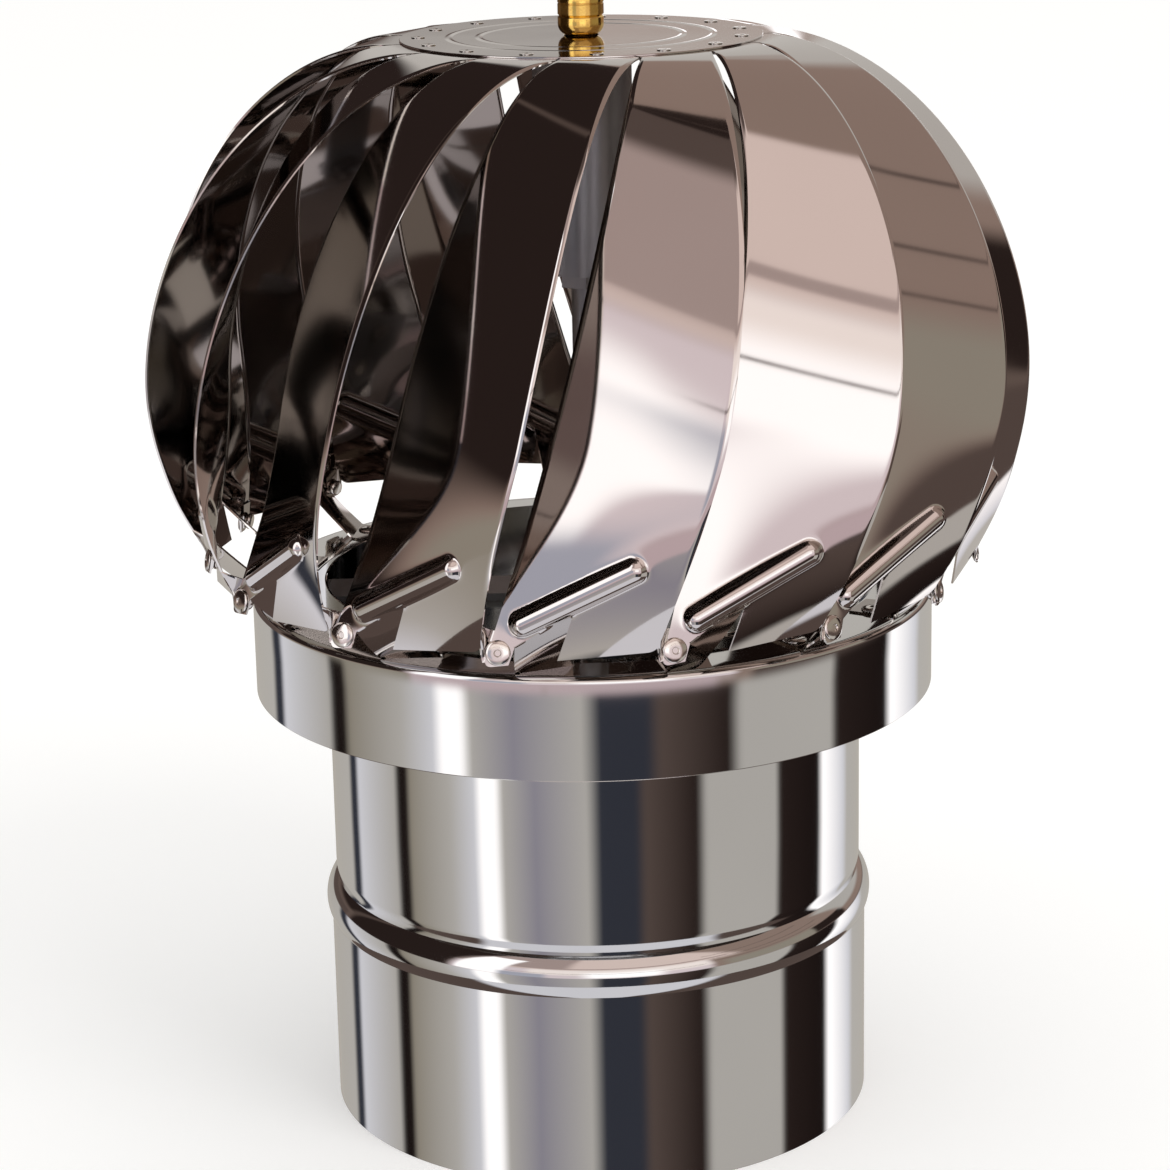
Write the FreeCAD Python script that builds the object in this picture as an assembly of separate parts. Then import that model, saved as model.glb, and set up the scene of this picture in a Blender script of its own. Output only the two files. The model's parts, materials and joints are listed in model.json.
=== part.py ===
import FreeCAD
import Part
import math
import os
from FreeCAD import Vector

# Roof turbine ventilator. Millimetres, +Z up, origin at the centre of the neck's
# lower edge. Azimuth is counted from -Y, the front, and grows counter-clockwise
# seen from above. The rotor turns about Z on a fixed spindle.

# Sheet metal and fits
SHEET = 0.5
SEAT_GAP = 0.05
HOLE_GAP = 0.10
BEARING_FIT = 0.02

# Neck: lower spigot, rolled bead and slightly narrower upper pipe
SPIGOT_R = 75.0
SPIGOT_LENGTH = 54.0
BEAD_WIDTH = 11.0
BEAD_PROUD = 1.3
BEAD_NECK_WIDTH = 4.0
UPPER_PIPE_R = 73.4
NECK_HEIGHT = 150.0

# Drum: rain skirt and flat lid pressed from one sheet, round the neck's upper end
DRUM_OVERHANG = 19.8
DRUM_HEIGHT = 27.6
DRUM_BEND_R = 2.0
DRUM_HEM = 1.2
LID_CLEARANCE = 4.1
NECK_STANDS_UP = 2.4

# Crown disc above the lid, with two pressed rings
HEAD_RISE = 148.0
DISC_R = 48.0
DISC_RING_RADII = (27.0, 35.0)
DISC_RING_WIDTH = 2.4
DISC_RING_RISE = 0.6
DISC_HOLE_R = 4.6

# Blades: each is a rolled strip between a proud leading edge and a recessed
# trailing edge, both starting under the disc and ending above the lid
BLADE_COUNT = 15
BLADE_RIM_R = 50.5
CROWN_FULLNESS = 1.87
LEAD_BELLY_R = 119.5
LEAD_BELLY_RISE = 60.0
LEAD_FOOT_OVERHANG = 11.4
LEAD_FOOT_RISE = 9.4
LEAD_FOOT_AZ = 8.5
LEAD_SWEEP = 20.4
LEAD_HOOK = 11.7
TRAIL_BELLY_R = 97.5
TRAIL_BELLY_RISE = 64.0
TRAIL_FOOT_OVERHANG = 12.8
TRAIL_FOOT_RISE = 5.9
TRAIL_FOOT_AZ = -15.0
TRAIL_SWEEP = 28.5
TRAIL_HOOK = 4.1
HOOK_POWER = 8
BLADE_CORNER_R = 2.2
BLADE_STATIONS = 13
TAB_INNER_R = 38.5
TAB_RIVET_R = 43.0

# Pressed rib near the foot of each blade: ends as shares of the strip
RIB_R = 3.1
RIB_START_V = 0.15
RIB_START_DROP = 10.5
RIB_END_V = 0.70
RIB_END_DROP = 25.5

# Foot flap: folded in under the rib and down to the lid
FOLD_START_V = 0.15
FOLD_START_DROP = 4.5
FOLD_END_V = 0.43
FOLD_END_DROP = 13.0
FOOT_LAND_START_INSET = 2.0
FOOT_LAND_END_INSET = 10.2
FOOT_LAND_START_AZ = -12.5
FOOT_LAND_END_AZ = -3.6
FOOT_TOE_MARGIN = 1.1
FOOT_RIVET_MARGIN = 6.5
FOOT_RIVET_AZ = -10.0

# Ear: the leading foot corner runs behind the next blade's trailing corner
EAR_TOP_DROP = 9.0
EAR_BOTTOM_DROP = 1.2
EAR_ROOT_V = 0.05
EAR_STEP_V = 0.012
EAR_REACH_V = 0.125
CORNER_RIVET_V = 0.062
CORNER_RIVET_DROP = 3.4

# Blind rivets
RIVET_SHANK_R = 1.6
RIVET_HEAD_R = 3.2
RIVET_HEAD_T = 0.8
RIVET_CROWN_SHARE = 0.6
RIVET_CURVE_GAP = 0.12
RIVET_TAIL_R = 2.3
RIVET_TAIL_T = 1.6
RIM_RIVET_HEAD_R = 1.9
RIM_RIVET_HEAD_T = 0.5

# Ball bearings, two alike
BEARING_BORE_R = 4.0
BEARING_R = 11.0
BEARING_WIDTH = 7.0
INNER_RING_R = 6.1
OUTER_RING_BORE_R = 9.5
SEAL_T = 0.6
SEAL_INSET = 0.3

# Hub tube under the disc
HUB_R = 13.2
HUB_FLANGE_R = 22.0
HUB_FLANGE_T = 2.0
HUB_LENGTH = 62.0
HUB_WAIST_R = 9.7
CLIP_T = 1.0
CLIP_DEPTH = 0.7
CLIP_WIDTH = 2.2
CLIP_LIP = 1.2
CLIP_OPENING_ANGLE = 50.0

# Spindle and its fasteners
SPINDLE_TAIL = 16.0
SPINDLE_STUD_R = 3.0
SPINDLE_STUD_LENGTH = 11.5
NUT_FLATS = 13.0
NUT_T = 6.5
WASHER_R = 8.0
WASHER_T = 1.6
TOP_WASHER_R = 5.6
TOP_WASHER_T = 1.0

# Bridges across the neck
BRIDGE_WIDTH = 18.0
BRIDGE_T = 2.0
BRIDGE_LEG = 20.0
UPPER_BRIDGE_DROP = 4.0
BRIDGE_SPACING = 34.0
BRIDGE_RIVET_UP = 7.0

# Brass nuts on top
BRASS_BASE_R = 3.8
BRASS_R = 6.1
BRASS_FLARE_RISE = 3.4
BRASS_NUT_RISE = 5.2
BRASS_GROOVE = 0.4
BRASS_CAP_BAND = 4.0
BRASS_CAP_RISE = 9.2

# Derived sizes
DRUM_R = UPPER_PIPE_R + DRUM_OVERHANG
LID_OPENING_R = UPPER_PIPE_R + LID_CLEARANCE
LID_TOP_Z = NECK_HEIGHT - NECK_STANDS_UP
DRUM_BOTTOM_Z = LID_TOP_Z - DRUM_HEIGHT
LEAD_FOOT_R = DRUM_R + LEAD_FOOT_OVERHANG
TRAIL_FOOT_R = DRUM_R + TRAIL_FOOT_OVERHANG
FOOT_LAND_START_R = DRUM_R - FOOT_LAND_START_INSET
FOOT_LAND_END_R = DRUM_R - FOOT_LAND_END_INSET
FOOT_TOE_R = LID_OPENING_R + FOOT_TOE_MARGIN
FOOT_RIVET_R = LID_OPENING_R + FOOT_RIVET_MARGIN
UPPER_BRIDGE_Z = NECK_HEIGHT - UPPER_BRIDGE_DROP
LOWER_BRIDGE_Z = UPPER_BRIDGE_Z - BRIDGE_SPACING
SPINDLE_BOTTOM_Z = LOWER_BRIDGE_Z - SPINDLE_TAIL
CROWN_Z = LID_TOP_Z + HEAD_RISE
DISC_TOP_Z = CROWN_Z + SHEET
PITCH = 360.0 / BLADE_COUNT
HUB_BOTTOM_Z = CROWN_Z - HUB_LENGTH
UPPER_BEARING_Z = CROWN_Z - CLIP_LIP - CLIP_T - BEARING_WIDTH
LOWER_BEARING_Z = HUB_BOTTOM_Z + CLIP_LIP + CLIP_T
UPPER_PIPE_BORE_R = UPPER_PIPE_R - SHEET


def polar(radius, azimuth, z):
    angle = math.radians(azimuth)
    return Vector(radius * math.sin(angle), -radius * math.cos(angle), z)


def turned(shape, azimuth):
    copy = shape.copy()
    copy.rotate(Vector(0, 0, 0), Vector(0, 0, 1), azimuth)
    return copy


def around(shape, count):
    return Part.makeCompound([turned(shape, i * 360.0 / count) for i in range(count)])


def revolve(edges):
    face = Part.Face(Part.Wire(edges))
    return face.revolve(Vector(0, 0, 0), Vector(0, 0, 1), 360)


def outline(points):
    """Closed straight-sided outline in the XZ plane from (radius, height) pairs."""
    corners = [Vector(r, 0, z) for r, z in points]
    corners.append(corners[0])
    return Part.makePolygon(corners).Edges


def ring(inner_r, outer_r, bottom_z, height):
    top_z = bottom_z + height
    pairs = [(inner_r, bottom_z), (outer_r, bottom_z), (outer_r, top_z), (inner_r, top_z)]
    return revolve(outline(pairs))


def line(a, b):
    return Part.LineSegment(Vector(a[0], 0, a[1]), Vector(b[0], 0, b[1])).toShape()


def arc(a, middle, b):
    points = [Vector(p[0], 0, p[1]) for p in (a, middle, b)]
    return Part.Arc(points[0], points[1], points[2]).toShape()


# Fixed parts in and on the neck

def neck_pipe():
    bead_low = SPIGOT_LENGTH
    bead_top = bead_low + BEAD_WIDTH
    bead_mid = bead_low + BEAD_WIDTH / 2
    waist_top = bead_top + BEAD_NECK_WIDTH
    edges = []
    for inset in (0.0, SHEET):
        low = SPIGOT_R - inset
        waist = UPPER_PIPE_R - inset
        bulge = SPIGOT_R + BEAD_PROUD - inset
        side = [
            line((low, 0), (low, bead_low)),
            arc((low, bead_low), (bulge, bead_mid), (waist - SHEET, bead_top)),
            line((waist - SHEET, bead_top), (waist, waist_top)),
            line((waist, waist_top), (waist, NECK_HEIGHT)),
        ]
        edges.append(side)
    top = line((UPPER_PIPE_R, NECK_HEIGHT), (UPPER_PIPE_BORE_R, NECK_HEIGHT))
    bottom = line((SPIGOT_R - SHEET, 0), (SPIGOT_R, 0))
    return revolve(edges[0] + [top] + edges[1][::-1] + [bottom])


def bridge(web_z, leg_sign, azimuth):
    """Flat strap across the bore whose two curved legs lie against the pipe."""
    fit_r = UPPER_PIPE_BORE_R - SEAT_GAP
    web_low = web_z if leg_sign > 0 else web_z - BRIDGE_T
    web = Part.makeBox(2 * fit_r, BRIDGE_WIDTH, BRIDGE_T)
    web.translate(Vector(-fit_r, -BRIDGE_WIDTH / 2, web_low))
    web = web.common(Part.makeCylinder(fit_r, BRIDGE_T, Vector(0, 0, web_low)))
    leg_low = web_z if leg_sign > 0 else web_z - BRIDGE_LEG
    legs = ring(fit_r - BRIDGE_T, fit_r, leg_low, BRIDGE_LEG)
    band = Part.makeBox(2 * fit_r, BRIDGE_WIDTH, BRIDGE_LEG)
    band.translate(Vector(-fit_r, -BRIDGE_WIDTH / 2, leg_low))
    strap = web.fuse(legs.common(band)).removeSplitter()
    bore = Part.makeCylinder(BEARING_BORE_R + HOLE_GAP, 4 * BRIDGE_T, Vector(0, 0, web_z - 2 * BRIDGE_T))
    strap = strap.cut(bore)
    for side in (0, 180):
        strap = strap.cut(turned(bridge_rivet_hole(bridge_rivet_z(web_z, leg_sign)), side))
    return turned(strap, azimuth)


def bridge_rivet_z(web_z, leg_sign):
    return web_z + leg_sign * (BRIDGE_LEG - BRIDGE_RIVET_UP)


def bridge_rivet_hole(z):
    return Part.makeCylinder(RIVET_SHANK_R + HOLE_GAP, 4 * BRIDGE_T,
                             Vector(UPPER_PIPE_BORE_R - 3 * BRIDGE_T, 0, z), Vector(1, 0, 0))


def rivet(grip, gap=SEAT_GAP, head_r=RIVET_HEAD_R, head_t=RIVET_HEAD_T):
    """Rivet along Z: the head's underside is at zero and the grip lies below it."""
    pairs = [
        (0, head_t + gap),
        (head_r * RIVET_CROWN_SHARE, head_t + gap),
        (head_r, gap),
        (RIVET_SHANK_R, gap),
        (RIVET_SHANK_R, -grip - gap),
        (RIVET_TAIL_R, -grip - gap),
        (RIVET_TAIL_R, -grip - gap - RIVET_TAIL_T),
        (0, -grip - gap - RIVET_TAIL_T),
    ]
    return revolve(outline(pairs))


def placed(shape, point, direction):
    """Move a Z-built shape so that its zero is at a point and its +Z along a direction."""
    copy = shape.copy()
    turn = FreeCAD.Rotation(Vector(0, 0, 1), direction)
    copy.Placement = FreeCAD.Placement(point, turn).multiply(copy.Placement)
    return copy


def bridge_rivets():
    one = rivet(SHEET + BRIDGE_T + SEAT_GAP)
    solids = []
    for web_z, leg_sign, azimuth in BRIDGES:
        z = bridge_rivet_z(web_z, leg_sign)
        for side in (0, 180):
            head = placed(one, Vector(UPPER_PIPE_R, 0, z), Vector(1, 0, 0))
            solids.append(turned(head, azimuth + side))
    return Part.makeCompound(solids)


def riveted_neck():
    neck = neck_pipe()
    for web_z, leg_sign, azimuth in BRIDGES:
        hole = bridge_rivet_hole(bridge_rivet_z(web_z, leg_sign))
        for side in (0, 180):
            neck = neck.cut(turned(hole, azimuth + side))
    return neck


def hex_prism(flats, height, z):
    corner_r = flats / math.sqrt(3)
    corners = [polar(corner_r, 60 * i, z) for i in range(7)]
    return Part.Face(Part.makePolygon(corners)).extrude(Vector(0, 0, height))


def hex_nut(z):
    bore = Part.makeCylinder(BEARING_BORE_R + SEAT_GAP, NUT_T, Vector(0, 0, z))
    return hex_prism(NUT_FLATS, NUT_T, z).cut(bore)


def washer(z):
    return ring(BEARING_BORE_R + HOLE_GAP, WASHER_R, z, WASHER_T)


def nut_levels():
    """Bottom heights of the nuts that clamp the spindle above and below each bridge."""
    levels = []
    for web_z, leg_sign, azimuth in BRIDGES:
        low = web_z if leg_sign > 0 else web_z - BRIDGE_T
        levels.append(low - WASHER_T - NUT_T)
        levels.append(low + BRIDGE_T + WASHER_T)
    return levels


def washer_levels():
    levels = []
    for web_z, leg_sign, azimuth in BRIDGES:
        low = web_z if leg_sign > 0 else web_z - BRIDGE_T
        levels.append(low - WASHER_T)
        levels.append(low + BRIDGE_T)
    return levels


def spindle():
    shoulder_z = UPPER_BEARING_Z + BEARING_WIDTH
    top_z = DISC_TOP_Z + SPINDLE_STUD_LENGTH
    pairs = [
        (0, SPINDLE_BOTTOM_Z),
        (BEARING_BORE_R, SPINDLE_BOTTOM_Z),
        (BEARING_BORE_R, shoulder_z),
        (SPINDLE_STUD_R, shoulder_z),
        (SPINDLE_STUD_R, top_z),
        (0, top_z),
    ]
    return revolve(outline(pairs))


# Bearings and hub

def inner_ring(z):
    return ring(BEARING_BORE_R + BEARING_FIT, INNER_RING_R, z, BEARING_WIDTH)


def outer_ring(z):
    return ring(OUTER_RING_BORE_R, BEARING_R - BEARING_FIT, z, BEARING_WIDTH)


def seals(z):
    low = ring(INNER_RING_R + SEAT_GAP, OUTER_RING_BORE_R - SEAT_GAP, z + SEAL_INSET, SEAL_T)
    high_z = z + BEARING_WIDTH - SEAL_INSET - SEAL_T
    high = ring(INNER_RING_R + SEAT_GAP, OUTER_RING_BORE_R - SEAT_GAP, high_z, SEAL_T)
    return Part.makeCompound([low, high])


def hub_tube():
    pairs = [
        (BEARING_R, HUB_BOTTOM_Z),
        (HUB_R, HUB_BOTTOM_Z),
        (HUB_R, CROWN_Z - HUB_FLANGE_T),
        (HUB_FLANGE_R, CROWN_Z - HUB_FLANGE_T),
        (HUB_FLANGE_R, CROWN_Z),
        (BEARING_R, CROWN_Z),
        (BEARING_R, UPPER_BEARING_Z),
        (HUB_WAIST_R, UPPER_BEARING_Z),
        (HUB_WAIST_R, LOWER_BEARING_Z + BEARING_WIDTH),
        (BEARING_R, LOWER_BEARING_Z + BEARING_WIDTH),
    ]
    tube = revolve(outline(pairs))
    groove_r = BEARING_R + CLIP_DEPTH
    for z in clip_levels():
        tube = tube.cut(ring(BEARING_R - CLIP_DEPTH, groove_r, z, CLIP_T))
    return tube


def clip_levels():
    return (UPPER_BEARING_Z + BEARING_WIDTH, LOWER_BEARING_Z - CLIP_T)


def hub_clips():
    """Open retaining rings, one outside each bearing."""
    solids = []
    outer = BEARING_R + CLIP_DEPTH - SEAT_GAP
    for z in clip_levels():
        full = ring(outer - CLIP_WIDTH, outer, z, CLIP_T)
        half = CLIP_OPENING_ANGLE / 2
        far = 2 * outer
        mouth = [Vector(0, 0, z), polar(far, -half, z), polar(far, half, z), Vector(0, 0, z)]
        opening = Part.Face(Part.makePolygon(mouth)).extrude(Vector(0, 0, CLIP_T))
        solids.append(full.cut(opening))
    return Part.makeCompound(solids)


def spacer_tube():
    low = LOWER_BEARING_Z + BEARING_WIDTH
    return ring(BEARING_BORE_R + SEAT_GAP, INNER_RING_R, low, UPPER_BEARING_Z - low)


# Drum and disc

def drum():
    bend = DRUM_BEND_R
    inner_bend = bend - SHEET
    diagonal = math.sqrt(0.5)
    centre_r = DRUM_R - bend
    centre_z = LID_TOP_Z - bend
    inner_r = DRUM_R - SHEET
    lid_low = LID_TOP_Z - SHEET
    edges = [
        line((LID_OPENING_R, lid_low), (LID_OPENING_R, LID_TOP_Z)),
        line((LID_OPENING_R, LID_TOP_Z), (centre_r, LID_TOP_Z)),
        arc((centre_r, LID_TOP_Z), (centre_r + bend * diagonal, centre_z + bend * diagonal), (DRUM_R, centre_z)),
        line((DRUM_R, centre_z), (DRUM_R, DRUM_BOTTOM_Z)),
        line((DRUM_R, DRUM_BOTTOM_Z), (inner_r - SHEET, DRUM_BOTTOM_Z)),
        line((inner_r - SHEET, DRUM_BOTTOM_Z), (inner_r - SHEET, DRUM_BOTTOM_Z + DRUM_HEM)),
        line((inner_r - SHEET, DRUM_BOTTOM_Z + DRUM_HEM), (inner_r, DRUM_BOTTOM_Z + DRUM_HEM)),
        line((inner_r, DRUM_BOTTOM_Z + DRUM_HEM), (inner_r, centre_z)),
        arc((inner_r, centre_z), (centre_r + inner_bend * diagonal, centre_z + inner_bend * diagonal),
            (centre_r, lid_low)),
        line((centre_r, lid_low), (LID_OPENING_R, lid_low)),
    ]
    return revolve(edges)


def drum_with_holes():
    hole = Part.makeCylinder(RIVET_SHANK_R + HOLE_GAP, 4 * SHEET,
                             polar(FOOT_RIVET_R, FOOT_RIVET_AZ, LID_TOP_Z - 2 * SHEET))
    return drum().cut(around(hole, BLADE_COUNT))


def disc_side(z):
    """Upper or lower outline of the disc from its hole to its rim, with the rings."""
    edges = []
    start = DISC_HOLE_R
    for radius in DISC_RING_RADII:
        near = radius - DISC_RING_WIDTH / 2
        far = radius + DISC_RING_WIDTH / 2
        edges.append(line((start, z), (near, z)))
        edges.append(arc((near, z), (radius, z + DISC_RING_RISE), (far, z)))
        start = far
    edges.append(line((start, z), (DISC_R, z)))
    return edges


def top_disc():
    rim = line((DISC_R, DISC_TOP_Z), (DISC_R, CROWN_Z))
    hole = line((DISC_HOLE_R, CROWN_Z), (DISC_HOLE_R, DISC_TOP_Z))
    disc = revolve(disc_side(DISC_TOP_Z) + [rim] + disc_side(CROWN_Z)[::-1] + [hole])
    rivet_hole = Part.makeCylinder(RIVET_SHANK_R + HOLE_GAP, 4 * SHEET,
                                   polar(TAB_RIVET_R, tab_azimuth(), CROWN_Z - 2 * SHEET))
    return disc.cut(around(rivet_hole, BLADE_COUNT))


def tab_azimuth():
    """Middle of the stretch of rim that one blade takes."""
    lead = LEAD_FOOT_AZ + LEAD_SWEEP + LEAD_HOOK
    trail = TRAIL_FOOT_AZ + TRAIL_SWEEP + TRAIL_HOOK
    return (lead + trail) / 2


# Blade

def meridian(belly_r, belly_rise, foot_r, foot_rise, share):
    """Radius and height at a share of the way down: superellipse crown, parabola below."""
    belly_z = LID_TOP_Z + belly_rise
    crown_share = 0.66
    if share <= crown_share:
        angle = math.pi / 2 * share / crown_share
        power = 2 / CROWN_FULLNESS
        out = math.sin(angle) ** power
        up = math.cos(angle) ** power if share < crown_share else 0.0
        return BLADE_RIM_R + (belly_r - BLADE_RIM_R) * out, belly_z + (CROWN_Z - belly_z) * up
    rest = (share - crown_share) / (1 - crown_share)
    foot_z = LID_TOP_Z + foot_rise
    return belly_r + (foot_r - belly_r) * rest ** 2, belly_z + (foot_z - belly_z) * rest


LEAD = (LEAD_BELLY_R, LEAD_BELLY_RISE, LEAD_FOOT_R, LEAD_FOOT_RISE)
TRAIL = (TRAIL_BELLY_R, TRAIL_BELLY_RISE, TRAIL_FOOT_R, TRAIL_FOOT_RISE)


def edge_point(shape, foot_az, sweep, hook, share):
    radius, z = meridian(*shape, share)
    left = 1 - share
    return polar(radius, foot_az + sweep * left + hook * left ** HOOK_POWER, z)


def lead_point(share):
    return edge_point(LEAD, LEAD_FOOT_AZ, LEAD_SWEEP, LEAD_HOOK, share)


def trail_point(share):
    return edge_point(TRAIL, TRAIL_FOOT_AZ, TRAIL_SWEEP, TRAIL_HOOK, share)


def strip_point(share, v, out=0.0):
    """Point on the blade: v runs from the trailing to the leading edge."""
    point = trail_point(share) * (1 - v) + lead_point(share) * v
    return point + strip_normal(share, v) * out


def strip_normal(share, v):
    if share <= 0:
        return Vector(0, 0, 1)
    step = 0.004
    low = min(share + step, 1.0)
    high = share - step
    down = (trail_point(low) - trail_point(high)) * (1 - v) + (lead_point(low) - lead_point(high)) * v
    across = lead_point(share) - trail_point(share)
    return down.cross(across).normalize()


def rail(points):
    """Edge through points: straight for two, a smooth curve for more."""
    if len(points) == 2:
        return Part.LineSegment(points[0], points[1]).toShape()
    curve = Part.BSplineCurve()
    curve.interpolate(points)
    return curve.toShape()


def skin(sections):
    """Solid whose four side faces and two end faces are ruled between its corners."""
    rails = [rail([corners[i] for corners in sections]) for i in range(4)]
    faces = [Part.makeRuledSurface(rails[i], rails[(i + 1) % 4]) for i in range(4)]
    for a, b, c, d in (sections[0], sections[-1]):
        faces.append(Part.makeRuledSurface(rail([a, b]), rail([d, c])))
    shell = Part.makeShell(faces)
    shell.sewShape()
    solid = Part.makeSolid(shell)
    if solid.Volume < 0:
        solid.reverse()
    return solid


def patch(shares, v_low, v_high, out, inner):
    """Solid between two offsets of a piece of the strip."""
    sections = []
    for share in shares:
        sections.append([
            strip_point(share, v_low, out),
            strip_point(share, v_high, out),
            strip_point(share, v_high, inner),
            strip_point(share, v_low, inner),
        ])
    return skin(sections)


def shares_between(low, high, count):
    return [low + (high - low) * i / (count - 1) for i in range(count)]


def share_at_drop(drop):
    """Share of the strip that lies a given distance above its foot, along the trailing edge."""
    fall = TRAIL_BELLY_RISE - TRAIL_FOOT_RISE
    return 1 - 0.34 * drop / fall


def capsule(start, end, radius):
    axis = end - start
    body = Part.makeCylinder(radius, axis.Length, start, axis)
    return body.fuse([Part.makeSphere(radius, start), Part.makeSphere(radius, end)])


def rim_tab():
    """Flat tab that continues the strip under the disc."""
    lead_az = LEAD_FOOT_AZ + LEAD_SWEEP + LEAD_HOOK
    trail_az = TRAIL_FOOT_AZ + TRAIL_SWEEP + TRAIL_HOOK
    corners = [
        polar(BLADE_RIM_R, trail_az, CROWN_Z),
        polar(BLADE_RIM_R, lead_az, CROWN_Z),
        polar(TAB_INNER_R, lead_az, CROWN_Z),
        polar(TAB_INNER_R, trail_az, CROWN_Z),
    ]
    tab = Part.Face(Part.makePolygon(corners + corners[:1])).extrude(Vector(0, 0, -SHEET))
    hole = Part.makeCylinder(RIVET_SHANK_R + HOLE_GAP, 4 * SHEET,
                             polar(TAB_RIVET_R, tab_azimuth(), CROWN_Z - 2 * SHEET))
    return tab.cut(hole)


def fold_corners():
    start = (share_at_drop(FOLD_START_DROP), FOLD_START_V)
    end = (share_at_drop(FOLD_END_DROP), FOLD_END_V)
    return start, end


def fold_notch():
    """Wedge taken out of the strip below the fold line."""
    (start_u, start_v), (end_u, end_v) = fold_corners()
    reach = 4 * SHEET
    below = 4 * SHEET
    sections = []
    for out in (reach, -reach):
        a = strip_point(start_u, start_v, out)
        b = strip_point(end_u, end_v, out)
        c = strip_point(1.0, end_v, out) - Vector(0, 0, below)
        d = strip_point(1.0, start_v, out) - Vector(0, 0, below)
        sections.append([a, b, c, d])
    return skin(sections)


def foot_flap():
    """Folded sheet from the fold line down to the lid, and its toe flat on the lid."""
    fold = fold_corners()
    outer_a, outer_b = [strip_point(u, v) for u, v in fold]
    inner_a, inner_b = [strip_point(u, v, -SHEET) for u, v in fold]
    rise = Vector(0, 0, SHEET)
    land_a = polar(FOOT_LAND_START_R, FOOT_LAND_START_AZ, LID_TOP_Z)
    land_b = polar(FOOT_LAND_END_R, FOOT_LAND_END_AZ, LID_TOP_Z)
    landing = [land_a, land_b, land_b + rise, land_a + rise]
    flap = skin([[outer_a, outer_b, inner_b, inner_a], landing])
    toe_a = polar(FOOT_TOE_R, FOOT_LAND_START_AZ, LID_TOP_Z)
    toe_b = polar(FOOT_TOE_R, FOOT_LAND_END_AZ, LID_TOP_Z)
    toe = Part.Face(Part.makePolygon([land_a, land_b, toe_b, toe_a, land_a])).extrude(rise)
    hole = Part.makeCylinder(RIVET_SHANK_R + HOLE_GAP, 4 * SHEET,
                             polar(FOOT_RIVET_R, FOOT_RIVET_AZ, LID_TOP_Z - SHEET))
    return flap.fuse(toe).cut(hole)


def ear():
    """Lug that steps down from the leading foot corner to behind the next trailing corner."""
    back = -SHEET - SEAT_GAP
    root = lug_section(1 - EAR_ROOT_V, 0.0)
    step = [turned_point(corner, PITCH) for corner in lug_section(-EAR_STEP_V, back)]
    end = [turned_point(corner, PITCH) for corner in lug_section(EAR_REACH_V, back)]
    return skin([root, step]).fuse(skin([step, end]))


def lug_section(v, out):
    top = share_at_drop(EAR_TOP_DROP)
    bottom = share_at_drop(EAR_BOTTOM_DROP)
    return [
        strip_point(top, v, out),
        strip_point(bottom, v, out),
        strip_point(bottom, v, out - SHEET),
        strip_point(top, v, out - SHEET),
    ]


def turned_point(point, azimuth):
    angle = math.radians(azimuth)
    c = math.cos(angle)
    s = math.sin(angle)
    return Vector(c * point.x - s * point.y, s * point.x + c * point.y, point.z)


def corner_rivet_seat():
    share = share_at_drop(CORNER_RIVET_DROP)
    return strip_point(share, CORNER_RIVET_V), strip_normal(share, CORNER_RIVET_V)


def corner_hole():
    point, normal = corner_rivet_seat()
    return Part.makeCylinder(RIVET_SHANK_R + HOLE_GAP, 8 * SHEET, point - normal * 5 * SHEET, normal)


def rib():
    """Half-round pressed rib, hollow behind."""
    start = strip_point(share_at_drop(RIB_START_DROP), RIB_START_V, -SHEET)
    end = strip_point(share_at_drop(RIB_END_DROP), RIB_END_V, -SHEET)
    shell = capsule(start, end, RIB_R).cut(capsule(start, end, RIB_R - SHEET))
    top = share_at_drop(RIB_END_DROP + 3 * RIB_R)
    backing = patch(shares_between(top, 1.0, 5), -0.1, 1.0, -SHEET / 2, -3 * RIB_R)
    return shell.cut(backing), capsule(start, end, RIB_R - SHEET)


def corner_cove(corner, along, up, normal):
    """What a round takes off a sheet corner: a small prism with one hollow side."""
    centre = corner + (along + up) * BLADE_CORNER_R
    on_foot = corner + along * BLADE_CORNER_R
    on_edge = corner + up * BLADE_CORNER_R
    middle = centre - (along + up).normalize() * BLADE_CORNER_R
    outside = corner - (along + up) * BLADE_CORNER_R
    edges = [
        Part.Arc(on_foot, middle, on_edge).toShape(),
        Part.LineSegment(on_edge, outside).toShape(),
        Part.LineSegment(outside, on_foot).toShape(),
    ]
    depth = normal * (8 * SHEET)
    profile = Part.Face(Part.Wire(edges))
    profile.translate(depth * -0.5)
    return profile.extrude(depth)


def foot_coves():
    """Rounding tools for the two foot corners."""
    tools = []
    for v, sign in ((0.0, 1), (1.0, -1)):
        corner = strip_point(1.0, v)
        above = strip_point(1.0 - 0.02, v)
        along = (lead_point(1.0) - trail_point(1.0)).normalize() * sign
        normal = strip_normal(1.0, v)
        up = (above - corner).normalize()
        up = (up - normal * up.dot(normal)).normalize()
        tools.append(corner_cove(corner, along, up, normal))
    return tools


def blade():
    sheet = patch(shares_between(0.0, 1.0, BLADE_STATIONS), 0.0, 1.0, 0.0, -SHEET)
    ridge, hollow = rib()
    sheet = sheet.cut(foot_coves() + [hollow, fold_notch()])
    body = sheet.fuse([rim_tab(), ridge, foot_flap(), ear()])
    body = body.cut(corner_hole()).cut(turned(corner_hole(), PITCH))
    return body.removeSplitter()


def corner_rivet():
    point, normal = corner_rivet_seat()
    return placed(rivet(2 * SHEET + SEAT_GAP, RIVET_CURVE_GAP), point, normal)


def foot_rivet():
    one = rivet(2 * SHEET)
    return placed(one, polar(FOOT_RIVET_R, FOOT_RIVET_AZ, LID_TOP_Z + SHEET), Vector(0, 0, 1))


def rim_rivet():
    one = rivet(2 * SHEET, SEAT_GAP, RIM_RIVET_HEAD_R, RIM_RIVET_HEAD_T)
    return placed(one, polar(TAB_RIVET_R, tab_azimuth(), DISC_TOP_Z), Vector(0, 0, 1))


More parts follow.
